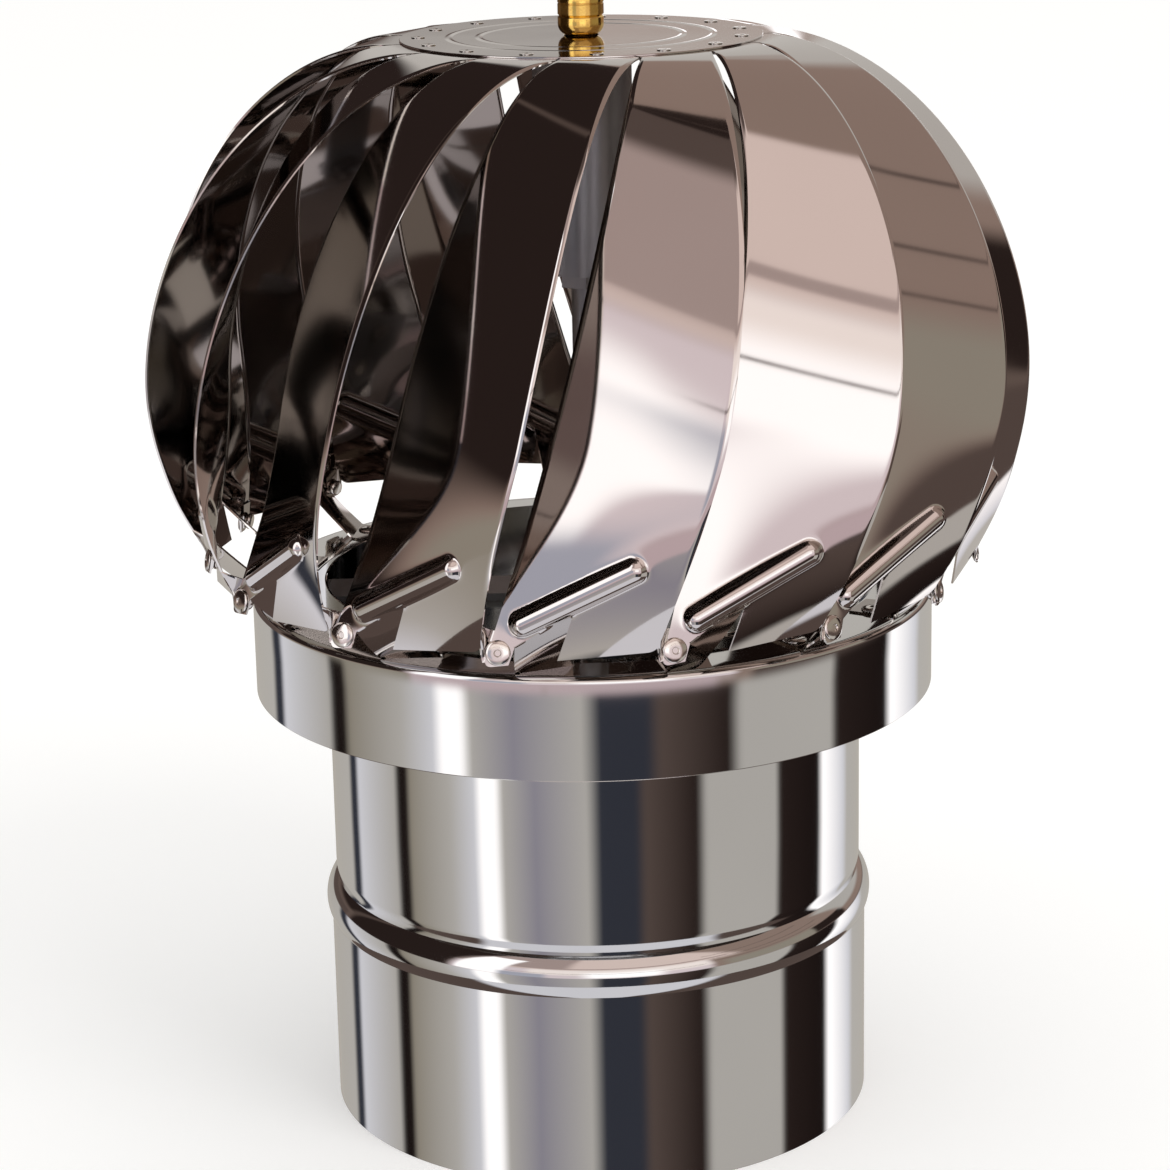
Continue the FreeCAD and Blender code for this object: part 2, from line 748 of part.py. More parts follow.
# Brass nuts

def brass_nut():
    """Round nut whose underside narrows to a collar that passes the disc."""
    low = UPPER_BEARING_Z + BEARING_WIDTH + TOP_WASHER_T
    flare = DISC_TOP_Z + BRASS_FLARE_RISE
    top = DISC_TOP_Z + BRASS_NUT_RISE
    bore = SPINDLE_STUD_R + SEAT_GAP
    middle_r = BRASS_BASE_R + (BRASS_R - BRASS_BASE_R) * 0.75
    edges = [
        line((bore, low), (BRASS_BASE_R, low)),
        line((BRASS_BASE_R, low), (BRASS_BASE_R, DISC_TOP_Z)),
        arc((BRASS_BASE_R, DISC_TOP_Z), (middle_r, DISC_TOP_Z + BRASS_FLARE_RISE * 0.35), (BRASS_R, flare)),
        line((BRASS_R, flare), (BRASS_R, top - BRASS_GROOVE)),
        line((BRASS_R, top - BRASS_GROOVE), (BRASS_R - BRASS_GROOVE, top)),
        line((BRASS_R - BRASS_GROOVE, top), (bore, top)),
        line((bore, top), (bore, low)),
    ]
    return revolve(edges)


def brass_cap():
    """Domed cap nut screwed down on the round nut."""
    low = DISC_TOP_Z + BRASS_NUT_RISE
    band = low + BRASS_CAP_BAND
    top = low + BRASS_CAP_RISE
    bore = SPINDLE_STUD_R + SEAT_GAP
    ceiling = DISC_TOP_Z + SPINDLE_STUD_LENGTH + SEAT_GAP
    dome = top - band
    dome_r = (BRASS_R ** 2 + dome ** 2) / (2 * dome)
    half = math.asin(min(BRASS_R / dome_r, 1.0)) / 2
    middle = (dome_r * math.sin(half), top - dome_r + dome_r * math.cos(half))
    edges = [
        line((bore, low), (BRASS_R - BRASS_GROOVE, low)),
        line((BRASS_R - BRASS_GROOVE, low), (BRASS_R, low + BRASS_GROOVE)),
        line((BRASS_R, low + BRASS_GROOVE), (BRASS_R, band)),
        arc((BRASS_R, band), middle, (0, top)),
        line((0, top), (0, ceiling)),
        line((0, ceiling), (bore, ceiling)),
        line((bore, ceiling), (bore, low)),
    ]
    return revolve(edges)


BRIDGES = ((UPPER_BRIDGE_Z, -1, 0.0), (LOWER_BRIDGE_Z, 1, 90.0))


def build_nodes():
    support_z = LOWER_BEARING_Z
    nodes = {
        "neck_pipe": riveted_neck(),
        "upper_bridge": bridge(*BRIDGES[0]),
        "lower_bridge": bridge(*BRIDGES[1]),
        "bridge_rivets": bridge_rivets(),
        "spindle": spindle(),
        "bridge_nuts": Part.makeCompound([hex_nut(z) for z in nut_levels()]),
        "bridge_washers": Part.makeCompound([washer(z) for z in washer_levels()]),
        "bearing_support_nut": hex_nut(support_z - NUT_T),
        "lower_bearing_inner_ring": inner_ring(LOWER_BEARING_Z),
        "bearing_spacer": spacer_tube(),
        "upper_bearing_inner_ring": inner_ring(UPPER_BEARING_Z),
        "top_washer": ring(SPINDLE_STUD_R + HOLE_GAP, TOP_WASHER_R, UPPER_BEARING_Z + BEARING_WIDTH, TOP_WASHER_T),
        "brass_nut": brass_nut(),
        "brass_cap_nut": brass_cap(),
        "drum": drum_with_holes(),
        "top_disc": top_disc(),
        "hub_tube": hub_tube(),
        "hub_clips": hub_clips(),
        "lower_bearing_outer_ring": outer_ring(LOWER_BEARING_Z),
        "upper_bearing_outer_ring": outer_ring(UPPER_BEARING_Z),
        "lower_bearing_seals": seals(LOWER_BEARING_Z),
        "upper_bearing_seals": seals(UPPER_BEARING_Z),
        "corner_rivets": around(corner_rivet(), BLADE_COUNT),
        "foot_rivets": around(foot_rivet(), BLADE_COUNT),
        "rim_rivets": around(rim_rivet(), BLADE_COUNT),
    }
    one_blade = blade()
    for i in range(BLADE_COUNT):
        nodes["blade_%02d" % (i + 1)] = turned(one_blade, i * PITCH)
    return nodes


os.makedirs("parts", exist_ok=True)
for name, shape in build_nodes().items():
    shape.exportStep("parts/%s.step" % name)
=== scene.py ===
# %% [markdown]
# # A roof turbine ventilator in mirror steel
#
# A turbine ventilator stands on a chimney or duct. A round head of fifteen rolled blades turns in
# the wind on a fixed spindle and draws air up through the neck. Every sheet is mirror-polished
# stainless steel, so the eye sees mostly what the sheets reflect. The CAD solids come first and fix
# each size. The pieces made here have the same shapes with finer, smoother surfaces.

# %% Load the fixed frame
import json
import math

import bpy
import numpy as np
from mathutils import Matrix, Vector


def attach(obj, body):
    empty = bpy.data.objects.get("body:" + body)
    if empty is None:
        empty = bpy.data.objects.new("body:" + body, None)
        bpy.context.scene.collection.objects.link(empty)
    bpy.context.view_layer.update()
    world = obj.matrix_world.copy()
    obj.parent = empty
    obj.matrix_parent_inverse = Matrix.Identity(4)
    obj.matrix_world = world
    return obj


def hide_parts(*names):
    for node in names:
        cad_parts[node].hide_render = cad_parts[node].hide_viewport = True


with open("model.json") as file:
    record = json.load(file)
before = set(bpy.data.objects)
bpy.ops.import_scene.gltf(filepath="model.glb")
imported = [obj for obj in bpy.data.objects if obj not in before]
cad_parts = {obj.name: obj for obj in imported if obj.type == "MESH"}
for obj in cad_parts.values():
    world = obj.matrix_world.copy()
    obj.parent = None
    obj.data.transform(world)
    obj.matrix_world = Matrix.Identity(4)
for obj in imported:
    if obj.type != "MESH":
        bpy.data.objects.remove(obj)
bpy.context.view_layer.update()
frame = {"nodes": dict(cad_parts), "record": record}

nodes = frame["nodes"]

# %% [markdown]
# ## Camera
#
# A long lens far away keeps the round head from bulging. The place and the tilt come from matching
# known points of the object, such as the ends of the neck and the nut on top, to where they appear.

# %% Camera
CAMERA_PLACE = (0.0, -0.901318, 0.3992245)
CAMERA_YAW, CAMERA_PITCH, CAMERA_ROLL = -0.0022, 0.2746, -0.0208
CAMERA_LENS, CLIP_START, CLIP_END = 104.476, 0.05, 50.0


def camera_axes(yaw, pitch, roll):
    """Right, up and backward: yaw turns about Z, pitch tips down, roll turns about the view."""
    level_right = np.array([math.cos(yaw), -math.sin(yaw), 0.0])
    level_forward = np.array([math.sin(yaw), math.cos(yaw), 0.0])
    sky = np.array([0.0, 0.0, 1.0])
    forward = math.cos(pitch) * level_forward - math.sin(pitch) * sky
    level_up = math.sin(pitch) * level_forward + math.cos(pitch) * sky
    right = math.cos(roll) * level_right + math.sin(roll) * level_up
    up = -math.sin(roll) * level_right + math.cos(roll) * level_up
    return right, up, -forward


def placed(name, data):
    """A new object, linked to the scene."""
    thing = bpy.data.objects.new(name, data)
    bpy.context.scene.collection.objects.link(thing)
    return thing


def make_camera():
    """The scene's camera, set up from its place, its axes and its lens."""
    right, up, back = camera_axes(CAMERA_YAW, CAMERA_PITCH, CAMERA_ROLL)
    data = bpy.data.cameras.new("camera")
    data.lens, data.clip_start, data.clip_end = CAMERA_LENS, CLIP_START, CLIP_END
    camera = placed("camera", data)
    matrix = np.eye(4)
    matrix[:3] = np.stack([right, up, back, CAMERA_PLACE], axis=1)
    camera.matrix_world = Matrix(matrix)
    bpy.context.scene.camera = camera
    return camera


bpy.context.scene.view_settings.view_transform = "Standard"
camera = make_camera()
print("camera at", tuple(round(x, 4) for x in camera.matrix_world.translation))

# %% [markdown]
# ## Building materials from nodes
#
# A material is a small graph. One function adds a node, sets its values and wires its inputs, so
# each finish below reads as a short list. Colours are hex codes, and one function turns them into
# the linear values that light is computed in.

# %% Node and colour helpers
MM = 0.001


def linear(code):
    """sRGB hex colour to linear RGBA: each channel goes through the sRGB curve backwards."""
    channels = [int(code[i:i + 2], 16) / 255 for i in (1, 3, 5)]
    return [c / 12.92 if c <= 0.04045 else ((c + 0.055) / 1.055) ** 2.4 for c in channels] + [1.0]


def add(tree, kind, inputs=None, **settings):
    """Adds one node. Each input is a value, or an output socket of an earlier node to link from."""
    node = tree.nodes.new(kind)
    for name, value in settings.items():
        setattr(node, name, value)
    for name, value in (inputs or {}).items():
        if isinstance(value, bpy.types.NodeSocket):
            tree.links.new(value, node.inputs[name])
        else:
            node.inputs[name].default_value = value
    return node


def new_material(name):
    """An empty graph with an output, and the object coordinates that patterns are laid on."""
    material = bpy.data.materials.new(name)
    material.use_nodes = True
    tree = material.node_tree
    tree.nodes.clear()
    output = add(tree, "ShaderNodeOutputMaterial")
    place = add(tree, "ShaderNodeTexCoord").outputs["Object"]
    return material, tree, output, place


def blotches(tree, place, size_mm, detail=2.0, stretch=(1, 1, 1)):
    """Noise with blotches about size_mm across; a stretch above 1 squeezes them along an axis."""
    scaled = add(tree, "ShaderNodeMapping", {"Vector": place, "Scale": stretch}).outputs["Vector"]
    settings = {"Vector": scaled, "Scale": 1 / (size_mm * MM), "Detail": detail, "Roughness": 0.5}
    return add(tree, "ShaderNodeTexNoise", settings).outputs["Fac"]


def drift(tree, place, size_mm, colours):
    """Colour that drifts between two tones in blotches about size_mm across."""
    first, second = [linear(colour) for colour in colours]
    return add(tree, "ShaderNodeMix", {
        "Factor": blotches(tree, place, size_mm), "A": first, "B": second},
        data_type="RGBA").outputs["Result"]


def surface(tree, output, height, strength, depth, look):
    """The material's surface: its look, with a bump of a depth in metres that follows a height."""
    bump = add(tree, "ShaderNodeBump", {"Height": height, "Strength": strength, "Distance": depth})
    shader = add(tree, "ShaderNodeBsdfPrincipled", {**look, "Normal": bump.outputs["Normal"]})
    tree.links.new(shader.outputs["BSDF"], output.inputs["Surface"])


print("mid grey in linear light", [round(c, 3) for c in linear("#808080")])

# %% [markdown]
# ## Mirror-polished stainless steel
#
# The blades, drum, disc and neck are thin stainless sheet with a mirror finish: almost no
# roughness, a slightly warm grey, and a faint unevenness left by rolling that makes reflections
# swim. Faint wipe marks raise the roughness here and there, so it doesn't look like perfect chrome.

# %% Stainless sheet
WIPE_MM, WIPE_STRETCH, HAZE = 34, (1, 1, 0.35), (0.035, 0.085)
WAVE_STRETCH, TONE_MM = (1, 1, 0.3), 60


def mirror_steel(name, colours, wave_mm, wave_depth):
    """Polished sheet whose rolling waves are wave_mm wide and wave_depth metres deep."""
    material, tree, output, place = new_material(name)
    wipe = blotches(tree, place, WIPE_MM, 3.0, WIPE_STRETCH)
    haze = add(tree, "ShaderNodeMapRange", {"Value": wipe, "To Min": HAZE[0], "To Max": HAZE[1]})
    waves = blotches(tree, place, wave_mm, 1.0, WAVE_STRETCH)
    surface(tree, output, waves, 1.0, wave_depth, {
        "Base Color": drift(tree, place, TONE_MM, colours), "Metallic": 1.0,
        "Roughness": haze.outputs["Result"]})
    return material


blade_steel = mirror_steel("mirror_polished_stainless_sheet", ("#c9c4c1", "#d2cdca"), 45, 0.00012)
pipe_steel = mirror_steel("mirror_polished_stainless_pipe", ("#c9c8c7", "#d2d1cf"), 30, 0.00008)
# A sheared edge is bare metal; its lighter colour is partly a painted highlight.
highlight_edge_steel = mirror_steel("sheared_edge_painted_highlight", ("#dcd6d0", "#e6e1dc"), 4, 0.00002)
# The blades' backs face the inside of the head and are painted darker and warmer: painted shade.
shaded_back_steel = mirror_steel("stainless_back_painted_shade", ("#8b817b", "#988e88"), 45, 0.00012)
print("steels", [steel.name for steel in (blade_steel, pipe_steel, highlight_edge_steel, shaded_back_steel)])

# %% [markdown]
# ## Surfaces from grids
#
# Every round part is a profile carried round an axis, and every sheet is a grid of points. Both are
# whole numpy arrays: one array of places and one of corner numbers. The same function turns either
# into a mesh.

# %% Mesh helpers
def make_piece(name, points, faces, sharp_deg=32):
    """Mesh object from a points array in millimetres and a faces array of corner numbers."""
    mesh = bpy.data.meshes.new(name)
    corners = faces.shape[1]
    mesh.vertices.add(len(points))
    mesh.vertices.foreach_set("co", (points * MM).astype(np.float32).ravel())
    mesh.loops.add(faces.size)
    mesh.loops.foreach_set("vertex_index", faces.astype(np.int32).ravel())
    mesh.polygons.add(len(faces))
    mesh.polygons.foreach_set("loop_start", np.arange(0, faces.size, corners, dtype=np.int32))
    mesh.update(calc_edges=True)
    mesh.validate()
    mesh.polygons.foreach_set("use_smooth", np.ones(len(mesh.polygons), bool))
    mesh.set_sharp_from_angle(angle=math.radians(sharp_deg))
    return placed(name, mesh)


def joined(numbers):
    """Faces between neighbours in a grid of point numbers; down cross right points outwards."""
    return np.stack([numbers[:-1, :-1], numbers[1:, :-1], numbers[1:, 1:], numbers[:-1, 1:]],
                    axis=-1).reshape(-1, 4)


def turn(points, degrees):
    """Turns points about the Z axis, counter-clockwise seen from above."""
    angle = math.radians(degrees)
    c, s = math.cos(angle), math.sin(angle)
    x, y, z = points[..., 0], points[..., 1], points[..., 2]
    return np.stack([c * x - s * y, s * x + c * y, z], axis=-1)


print("a grid of 3 by 4 points has", len(joined(np.arange(12).reshape(3, 4))), "faces")

# %% [markdown]
# ## Turned shapes
#
# A profile is a list of (radius, height) pairs. Carried round the Z axis it makes a ring, such as a
# pipe, or a solid that closes in a point at both ends, such as a rivet.

# %% Turned shapes
def carried_round(profile, segments):
    """Points of a profile carried round the Z axis, and their numbers in rows of one height each.
    The first column of numbers comes again at the end, so the faces close the circle."""
    r, z = np.array(profile, dtype=float).T
    angle = np.arange(segments) * 2 * np.pi / segments
    points = np.stack([np.outer(r, np.sin(angle)), -np.outer(r, np.cos(angle)),
                       np.outer(z, np.ones(segments))], axis=-1).reshape(-1, 3)
    numbers = np.arange(len(points)).reshape(len(r), segments)
    return points, np.concatenate([numbers, numbers[:, :1]], axis=1)


def lathe(name, profile, segments=256, closed=True):
    """Ring of a closed profile, which runs up the outside and down the inside. An open profile
    gives a skin without thickness."""
    points, numbers = carried_round(profile, segments)
    rows = np.concatenate([numbers, numbers[:1]]) if closed else numbers
    return make_piece(name, points, joined(rows.T))


def spun(profile, segments):
    """Solid whose profile runs up the outside from one pole on the axis to the other. Each pole is
    one point with a fan of triangles round it."""
    rings, numbers = carried_round(profile[1:-1], segments)
    points = np.concatenate([rings, [[0, 0, profile[0][1]], [0, 0, profile[-1][1]]]])
    walls = joined(numbers.T)
    low_pole, high_pole = np.full(segments, len(rings)), np.full(segments, len(rings) + 1)
    low_fan = np.stack([low_pole, numbers[0, 1:], numbers[0, :-1]], axis=-1)
    high_fan = np.stack([high_pole, numbers[-1, :-1], numbers[-1, 1:]], axis=-1)
    return points, np.concatenate([walls[:, [0, 1, 2]], walls[:, [0, 2, 3]], low_fan, high_fan])


def arc(centre, radius, start_deg, end_deg, steps, half_height=None):
    """Points on an arc of the profile plane, angles counted from +radius towards +height. It is
    part of a circle, or of an ellipse if the half height differs from the radius."""
    t = np.radians(np.linspace(start_deg, end_deg, steps))
    height = radius if half_height is None else half_height
    return list(zip(centre[0] + radius * np.cos(t), centre[1] + height * np.sin(t)))


def dress(piece, body, material, node):
    """Gives a piece its body and finish, and hides the CAD node that it stands for."""
    piece.data.materials.append(material)
    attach(piece, body)
    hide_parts(node)
    print(piece.name, "faces", len(piece.data.polygons))


print("a quarter arc", np.round(arc((0, 0), 1, 0, 90, 3), 2).tolist())

# %% [markdown]
# ## Neck
#
# The neck is a rolled pipe with one bead pressed round it, which stops it in the flue. A cylinder
# with a torus on it would have a sharp valley where the two meet. One closed profile, up the
# outside and back down the inside 0.5 mm in, gives the bead its soft shoulders and the pipe its
# real wall.

# %% Neck
SHEET = 0.5
SPIGOT_R, SPIGOT_TOP, BEAD_TOP, BEAD_R = 75.0, 54.0, 65.0, 76.3
PIPE_R, WAIST_TOP, NECK_TOP = 73.4, 69.0, 150.0
EDGE_ROUND = 0.12
SPIGOT_ROWS, PIPE_ROWS = (10, 30, 50), (90, 120)


def smooth_step(value, low, high):
    """0 below low, 1 above high, and a smooth rise between."""
    t = np.clip((value - low) / (high - low), 0, 1)
    return t * t * (3 - 2 * t)


def three_point_arc(a, b, c, steps):
    """Points on the circle through three points, from a over b to c."""
    (ax, ay), (bx, by), (cx, cy) = a, b, c
    d = 2 * (ax * (by - cy) + bx * (cy - ay) + cx * (ay - by))
    sa, sb, sc = ax * ax + ay * ay, bx * bx + by * by, cx * cx + cy * cy
    x = (sa * (by - cy) + sb * (cy - ay) + sc * (ay - by)) / d
    y = (sa * (cx - bx) + sb * (ax - cx) + sc * (bx - ax)) / d
    start, end = math.atan2(ay - y, ax - x), math.atan2(cy - y, cx - x)
    return arc((x, y), math.hypot(ax - x, ay - y), math.degrees(start), math.degrees(end), steps)


def neck_side(inset):
    """Outline of one face of the neck's wall, from the lower edge up."""
    bead_middle = (SPIGOT_TOP + BEAD_TOP) / 2
    bulge = three_point_arc((SPIGOT_R - inset, SPIGOT_TOP), (BEAD_R - inset, bead_middle),
                            (PIPE_R - SHEET - inset, BEAD_TOP), 33)
    waist_z = np.linspace(BEAD_TOP, WAIST_TOP, 9)[1:]
    widening = SHEET * smooth_step(waist_z, BEAD_TOP, WAIST_TOP)
    waist = list(zip(PIPE_R - SHEET - inset + widening, waist_z))
    low = [(SPIGOT_R - inset, z) for z in (EDGE_ROUND, *SPIGOT_ROWS)]
    high = [(PIPE_R - inset, z) for z in (*PIPE_ROWS, NECK_TOP - EDGE_ROUND)]
    return low + bulge + waist + high


def neck_profile():
    """Up the outside and down the inside, with both free edges rounded."""
    low_r, high_r, flat = SPIGOT_R - SHEET / 2, PIPE_R - SHEET / 2, SHEET / 2 - EDGE_ROUND
    low = [(low_r - flat, 0.0), (low_r + flat, 0.0)]
    high = [(high_r + flat, NECK_TOP), (high_r - flat, NECK_TOP)]
    return low + neck_side(0.0) + high + neck_side(SHEET)[::-1]


dress(lathe("polished_neck", neck_profile()), "base", pipe_steel, "neck_pipe")

# %% [markdown]
# ## Drum
#
# The drum turns with the head and hangs over the neck like a lid, so that rain stays out. It is a
# skirt and a lid drawn from one sheet, with a hem inside its lower edge. The same kind of profile
# makes it: the tight bend at the shoulder is an arc, so a thin highlight runs round it.

# %% Drum
DRUM_R, LID_TOP, DRUM_LOW, LID_OPENING_R = 93.2, 147.6, 120.0, 77.5
DRUM_BEND, HEM_RISE, HEM_ROUND = 2.0, 1.2, 0.25
SKIRT_ROWS, LID_ROWS = (8, 18), (88, 84, 80)


def drum_profile():
    """Up the skirt, over the bend and in along the lid; back under it and down to the hem."""
    bend = (DRUM_R - DRUM_BEND, LID_TOP - DRUM_BEND)
    skirt = [(DRUM_R, DRUM_LOW + rise) for rise in (HEM_ROUND, *SKIRT_ROWS)]
    outside = arc(bend, DRUM_BEND, 0, 90, 13)
    lid = [(r, LID_TOP) for r in LID_ROWS]
    lid_back, lip_r = LID_TOP - SHEET, LID_OPENING_R + EDGE_ROUND
    lip = [(lip_r, LID_TOP), (LID_OPENING_R, LID_TOP - EDGE_ROUND),
           (LID_OPENING_R, lid_back + EDGE_ROUND), (lip_r, lid_back)]
    under = [(r, lid_back) for r in LID_ROWS[::-1]]
    inside = arc(bend, DRUM_BEND - SHEET, 90, 0, 13)
    hem_r = DRUM_R - 2 * SHEET
    hem = [(DRUM_R - SHEET, DRUM_LOW + HEM_RISE), (hem_r, DRUM_LOW + HEM_RISE),
           (hem_r, DRUM_LOW + HEM_ROUND)]
    foot = [(hem_r + HEM_ROUND, DRUM_LOW), (DRUM_R - HEM_ROUND, DRUM_LOW)]
    return skirt + outside + lid + lip + under + inside + hem + foot


dress(lathe("polished_drum", drum_profile()), "rotor", pipe_steel, "drum")

# %% [markdown]
# ## Disc
#
# The disc ties the tops of all blades together. Two shallow rings are pressed into it to keep the
# thin sheet from drumming. They are a cosine hump on the profile, low enough that only the bent
# reflections give them away.

# %% Disc
DISC_R, CROWN_Z, DISC_HOLE_R = 48.0, 295.6, 4.6
DISC_RINGS, RING_WIDTH, RING_RISE = (27.0, 35.0), 2.4, 0.16


def disc_side(z):
    """Disc outline from the hole to the rim; each ring is a low cosine hump."""
    r = np.concatenate([np.linspace(DISC_HOLE_R + EDGE_ROUND, DISC_R - EDGE_ROUND, 90),
                        *[np.linspace(m - RING_WIDTH, m + RING_WIDTH, 33) for m in DISC_RINGS]])
    r = np.unique(np.round(r, 4))
    rise = np.zeros(len(r))
    for middle in DISC_RINGS:
        off = np.abs(r - middle) / (RING_WIDTH / 2)
        rise += RING_RISE * 0.5 * (1 + np.cos(np.pi * np.clip(off, 0, 1)))
    return list(zip(r, z + rise))


def disc_profile():
    """Out along the underside, over the rim and back in along the top."""
    under, top = disc_side(CROWN_Z), disc_side(CROWN_Z + SHEET)
    rim = [(DISC_R, CROWN_Z + EDGE_ROUND), (DISC_R, CROWN_Z + SHEET - EDGE_ROUND)]
    hole = [(DISC_HOLE_R, CROWN_Z + SHEET - EDGE_ROUND), (DISC_HOLE_R, CROWN_Z + EDGE_ROUND)]
    return under + rim + top[::-1] + hole


dress(lathe("polished_disc", disc_profile()), "rotor", blade_steel, "top_disc")

# %% [markdown]
# ## The blade's surface
#
# A blade is one strip of sheet rolled between two curves: a proud leading edge and a recessed
# trailing edge. Both start under the disc, bulge at the belly and draw in again at the foot. A
# point of the strip is a weighted mean of the two curves at the same share of the way down, so the
# sheet is straight across and curved only along its length, as rolled sheet is.

# %% Edge curves
RIM_R, CROWN_POWER, CROWN_SHARE = 50.5, 2 / 1.87, 0.66
LEAD = {"belly_r": 119.5, "belly_rise": 60.0, "foot_r": 104.6, "foot_rise": 9.4,
        "foot_az": 8.5, "sweep": 20.4, "hook": 11.7}
TRAIL = {"belly_r": 97.5, "belly_rise": 64.0, "foot_r": 106.0, "foot_rise": 5.9,
         "foot_az": -15.0, "sweep": 28.5, "hook": 4.1}
HOOK_POWER = 8
BLADE_COUNT = 15
PITCH = 360 / BLADE_COUNT


def polar(radius, azimuth_deg, z):
    """Point from radius, azimuth from the front counter-clockwise, and height."""
    a = np.radians(azimuth_deg)
    return np.stack(np.broadcast_arrays(radius * np.sin(a), -radius * np.cos(a), z), axis=-1)


def edge_curve(edge, u):
    """Crown: a superellipse quarter from the rim to the belly. Below it the radius follows a
    parabola to the foot. The azimuth sweeps evenly and hooks forward near the disc."""
    belly_z, foot_z = LID_TOP + edge["belly_rise"], LID_TOP + edge["foot_rise"]
    quarter = np.clip(u / CROWN_SHARE, 0, 1) * np.pi / 2
    rest = np.clip((u - CROWN_SHARE) / (1 - CROWN_SHARE), 0, 1)
    r = RIM_R + (edge["belly_r"] - RIM_R) * np.sin(quarter) ** CROWN_POWER
    z = belly_z + (CROWN_Z - belly_z) * np.clip(np.cos(quarter), 0, 1) ** CROWN_POWER
    r = r + (edge["foot_r"] - edge["belly_r"]) * rest ** 2
    z = z + (foot_z - belly_z) * rest
    left = 1 - u
    return polar(r, edge["foot_az"] + edge["sweep"] * left + edge["hook"] * left ** HOOK_POWER, z)


def strip(u, v):
    """Point of the strip: v runs from the trailing edge, 0, to the leading edge, 1."""
    v = v[..., None]
    return edge_curve(TRAIL, u) * (1 - v) + edge_curve(LEAD, u) * v


def strip_normal(u, v, step=0.004):
    """Outward normal: the direction down the strip crossed with the direction across it."""
    down = strip(np.clip(u + step, 0, 1), v) - strip(np.clip(u - step, 0, 1), v)
    across = edge_curve(LEAD, u) - edge_curve(TRAIL, u)
    normal = np.cross(down, across)
    return normal / np.linalg.norm(normal, axis=-1, keepdims=True)


def share_at_drop(drop):
    """The u of a place that lies drop millimetres above the foot on the trailing edge."""
    return 1 - (1 - CROWN_SHARE) * drop / (TRAIL["belly_rise"] - TRAIL["foot_rise"])


def strip_width(u):
    """Straight distance across the strip."""
    return np.linalg.norm(edge_curve(LEAD, u) - edge_curve(TRAIL, u), axis=-1)


print("blade", np.round(strip_width(np.array([0.0, CROWN_SHARE, 1.0])), 1), "mm wide, top to foot")

# %% [markdown]
# ## Blade grid
#
# The rows crowd together near the foot, where the rib is, and one row follows the fold line.
# Columns between the fold's ends stop at that row: the sheet below is folded in, as a flap that
# goes down to the lid. The outermost columns lie close together, for the rolled edges and the
# rounded corners.

# %% Grid rows and columns
# A fold's end is its height above the foot in millimetres and its share of the way across.
FOLD = ((4.5, 0.15), (13.0, 0.43))
CORNER_R, CORNER_REACH_V = 2.2, 0.1
LUG_TOP, LUG_START_V = 9.0, 0.8
FINE_DROP = 36.0
DROPS_LOW = np.array([LUG_TOP, 8.4, 7.8, 7.2, 6.6, 6.0, 5.4, 4.8, 4.2, 3.7, 3.2, 2.7, CORNER_R, 1.9,
                      1.55, 1.2, 0.85, 0.55, 0.3, 0.12, 0.0])
DROPS_FINE = np.linspace(FINE_DROP, LUG_TOP, 64)[:-1]
ROW_CROWDING = 1.15
ROWS_ABOVE = share_at_drop(FINE_DROP) * (1 - (1 - np.linspace(0, 1, 66)[:-1]) ** ROW_CROWDING)
FOLD_ROW = len(ROWS_ABOVE) + len(DROPS_FINE)
EDGE_SHARES, EDGE_END = np.array([0, 0.003, 0.007, 0.012, 0.018, 0.025, 0.034]), 0.045
COLUMNS = np.concatenate([EDGE_SHARES, np.linspace(EDGE_END, FOLD[0][1], 11)[:-1],
                          np.linspace(FOLD[0][1], FOLD[1][1], 31)[:-1],
                          np.linspace(FOLD[1][1], 1 - EDGE_END, 54), 1 - EDGE_SHARES[::-1]])
FIRST_FOLD, LAST_FOLD = [int(np.argmin(np.abs(COLUMNS - v))) for _, v in FOLD]


def fold_drop(v):
    """Height of the row that follows the fold line; past the fold it returns to the lug's top."""
    (start_drop, start_v), (end_drop, end_v) = FOLD
    return np.interp(v, [start_v, end_v, LUG_START_V], [start_drop, end_drop, LUG_TOP])


def blade_shares():
    """The share of the way down, and the place across, of each grid point."""
    nominal = np.concatenate([DROPS_FINE, DROPS_LOW])
    v = np.broadcast_to(COLUMNS, (len(ROWS_ABOVE) + len(nominal), len(COLUMNS))).copy()
    u = np.empty_like(v)
    u[:len(ROWS_ABOVE)] = ROWS_ABOVE[:, None]
    known = [0, CORNER_R, LUG_TOP, FINE_DROP]
    for column, place in enumerate(COLUMNS):
        drop = np.interp(nominal, known, [0, CORNER_R, fold_drop(place), FINE_DROP])
        u[len(ROWS_ABOVE):, column] = share_at_drop(drop)
    return u, v


def round_corners(u, v):
    """Draws the foot's outer columns in, so that both corners follow a quarter circle."""
    drop = (1 - u) * (TRAIL["belly_rise"] - TRAIL["foot_rise"]) / (1 - CROWN_SHARE)
    near = np.clip(CORNER_R - drop, 0, CORNER_R)
    inset = CORNER_R - np.sqrt(CORNER_R ** 2 - near ** 2)
    at_trail = np.clip(1 - v / CORNER_REACH_V, 0, 1)
    at_lead = np.clip(1 - (1 - v) / CORNER_REACH_V, 0, 1)
    return v + inset / strip_width(np.array(1.0)) * (at_trail - at_lead)


u, v = blade_shares()
v = round_corners(u, v)
print("blade grid", u.shape, "fold row", FOLD_ROW)

# %% [markdown]
# ## Pressed rib and rolled edges
#
# A press gives the sheet a half-round rib near its foot, which stiffens it, and the two long edges
# are rolled in a little, which blunts them. A rib laid on the sheet as an object of its own would
# show a hard line round it. Here each point of the grid moves along the sheet's normal instead, so
# rib and sheet are one surface with a small fillet between them.

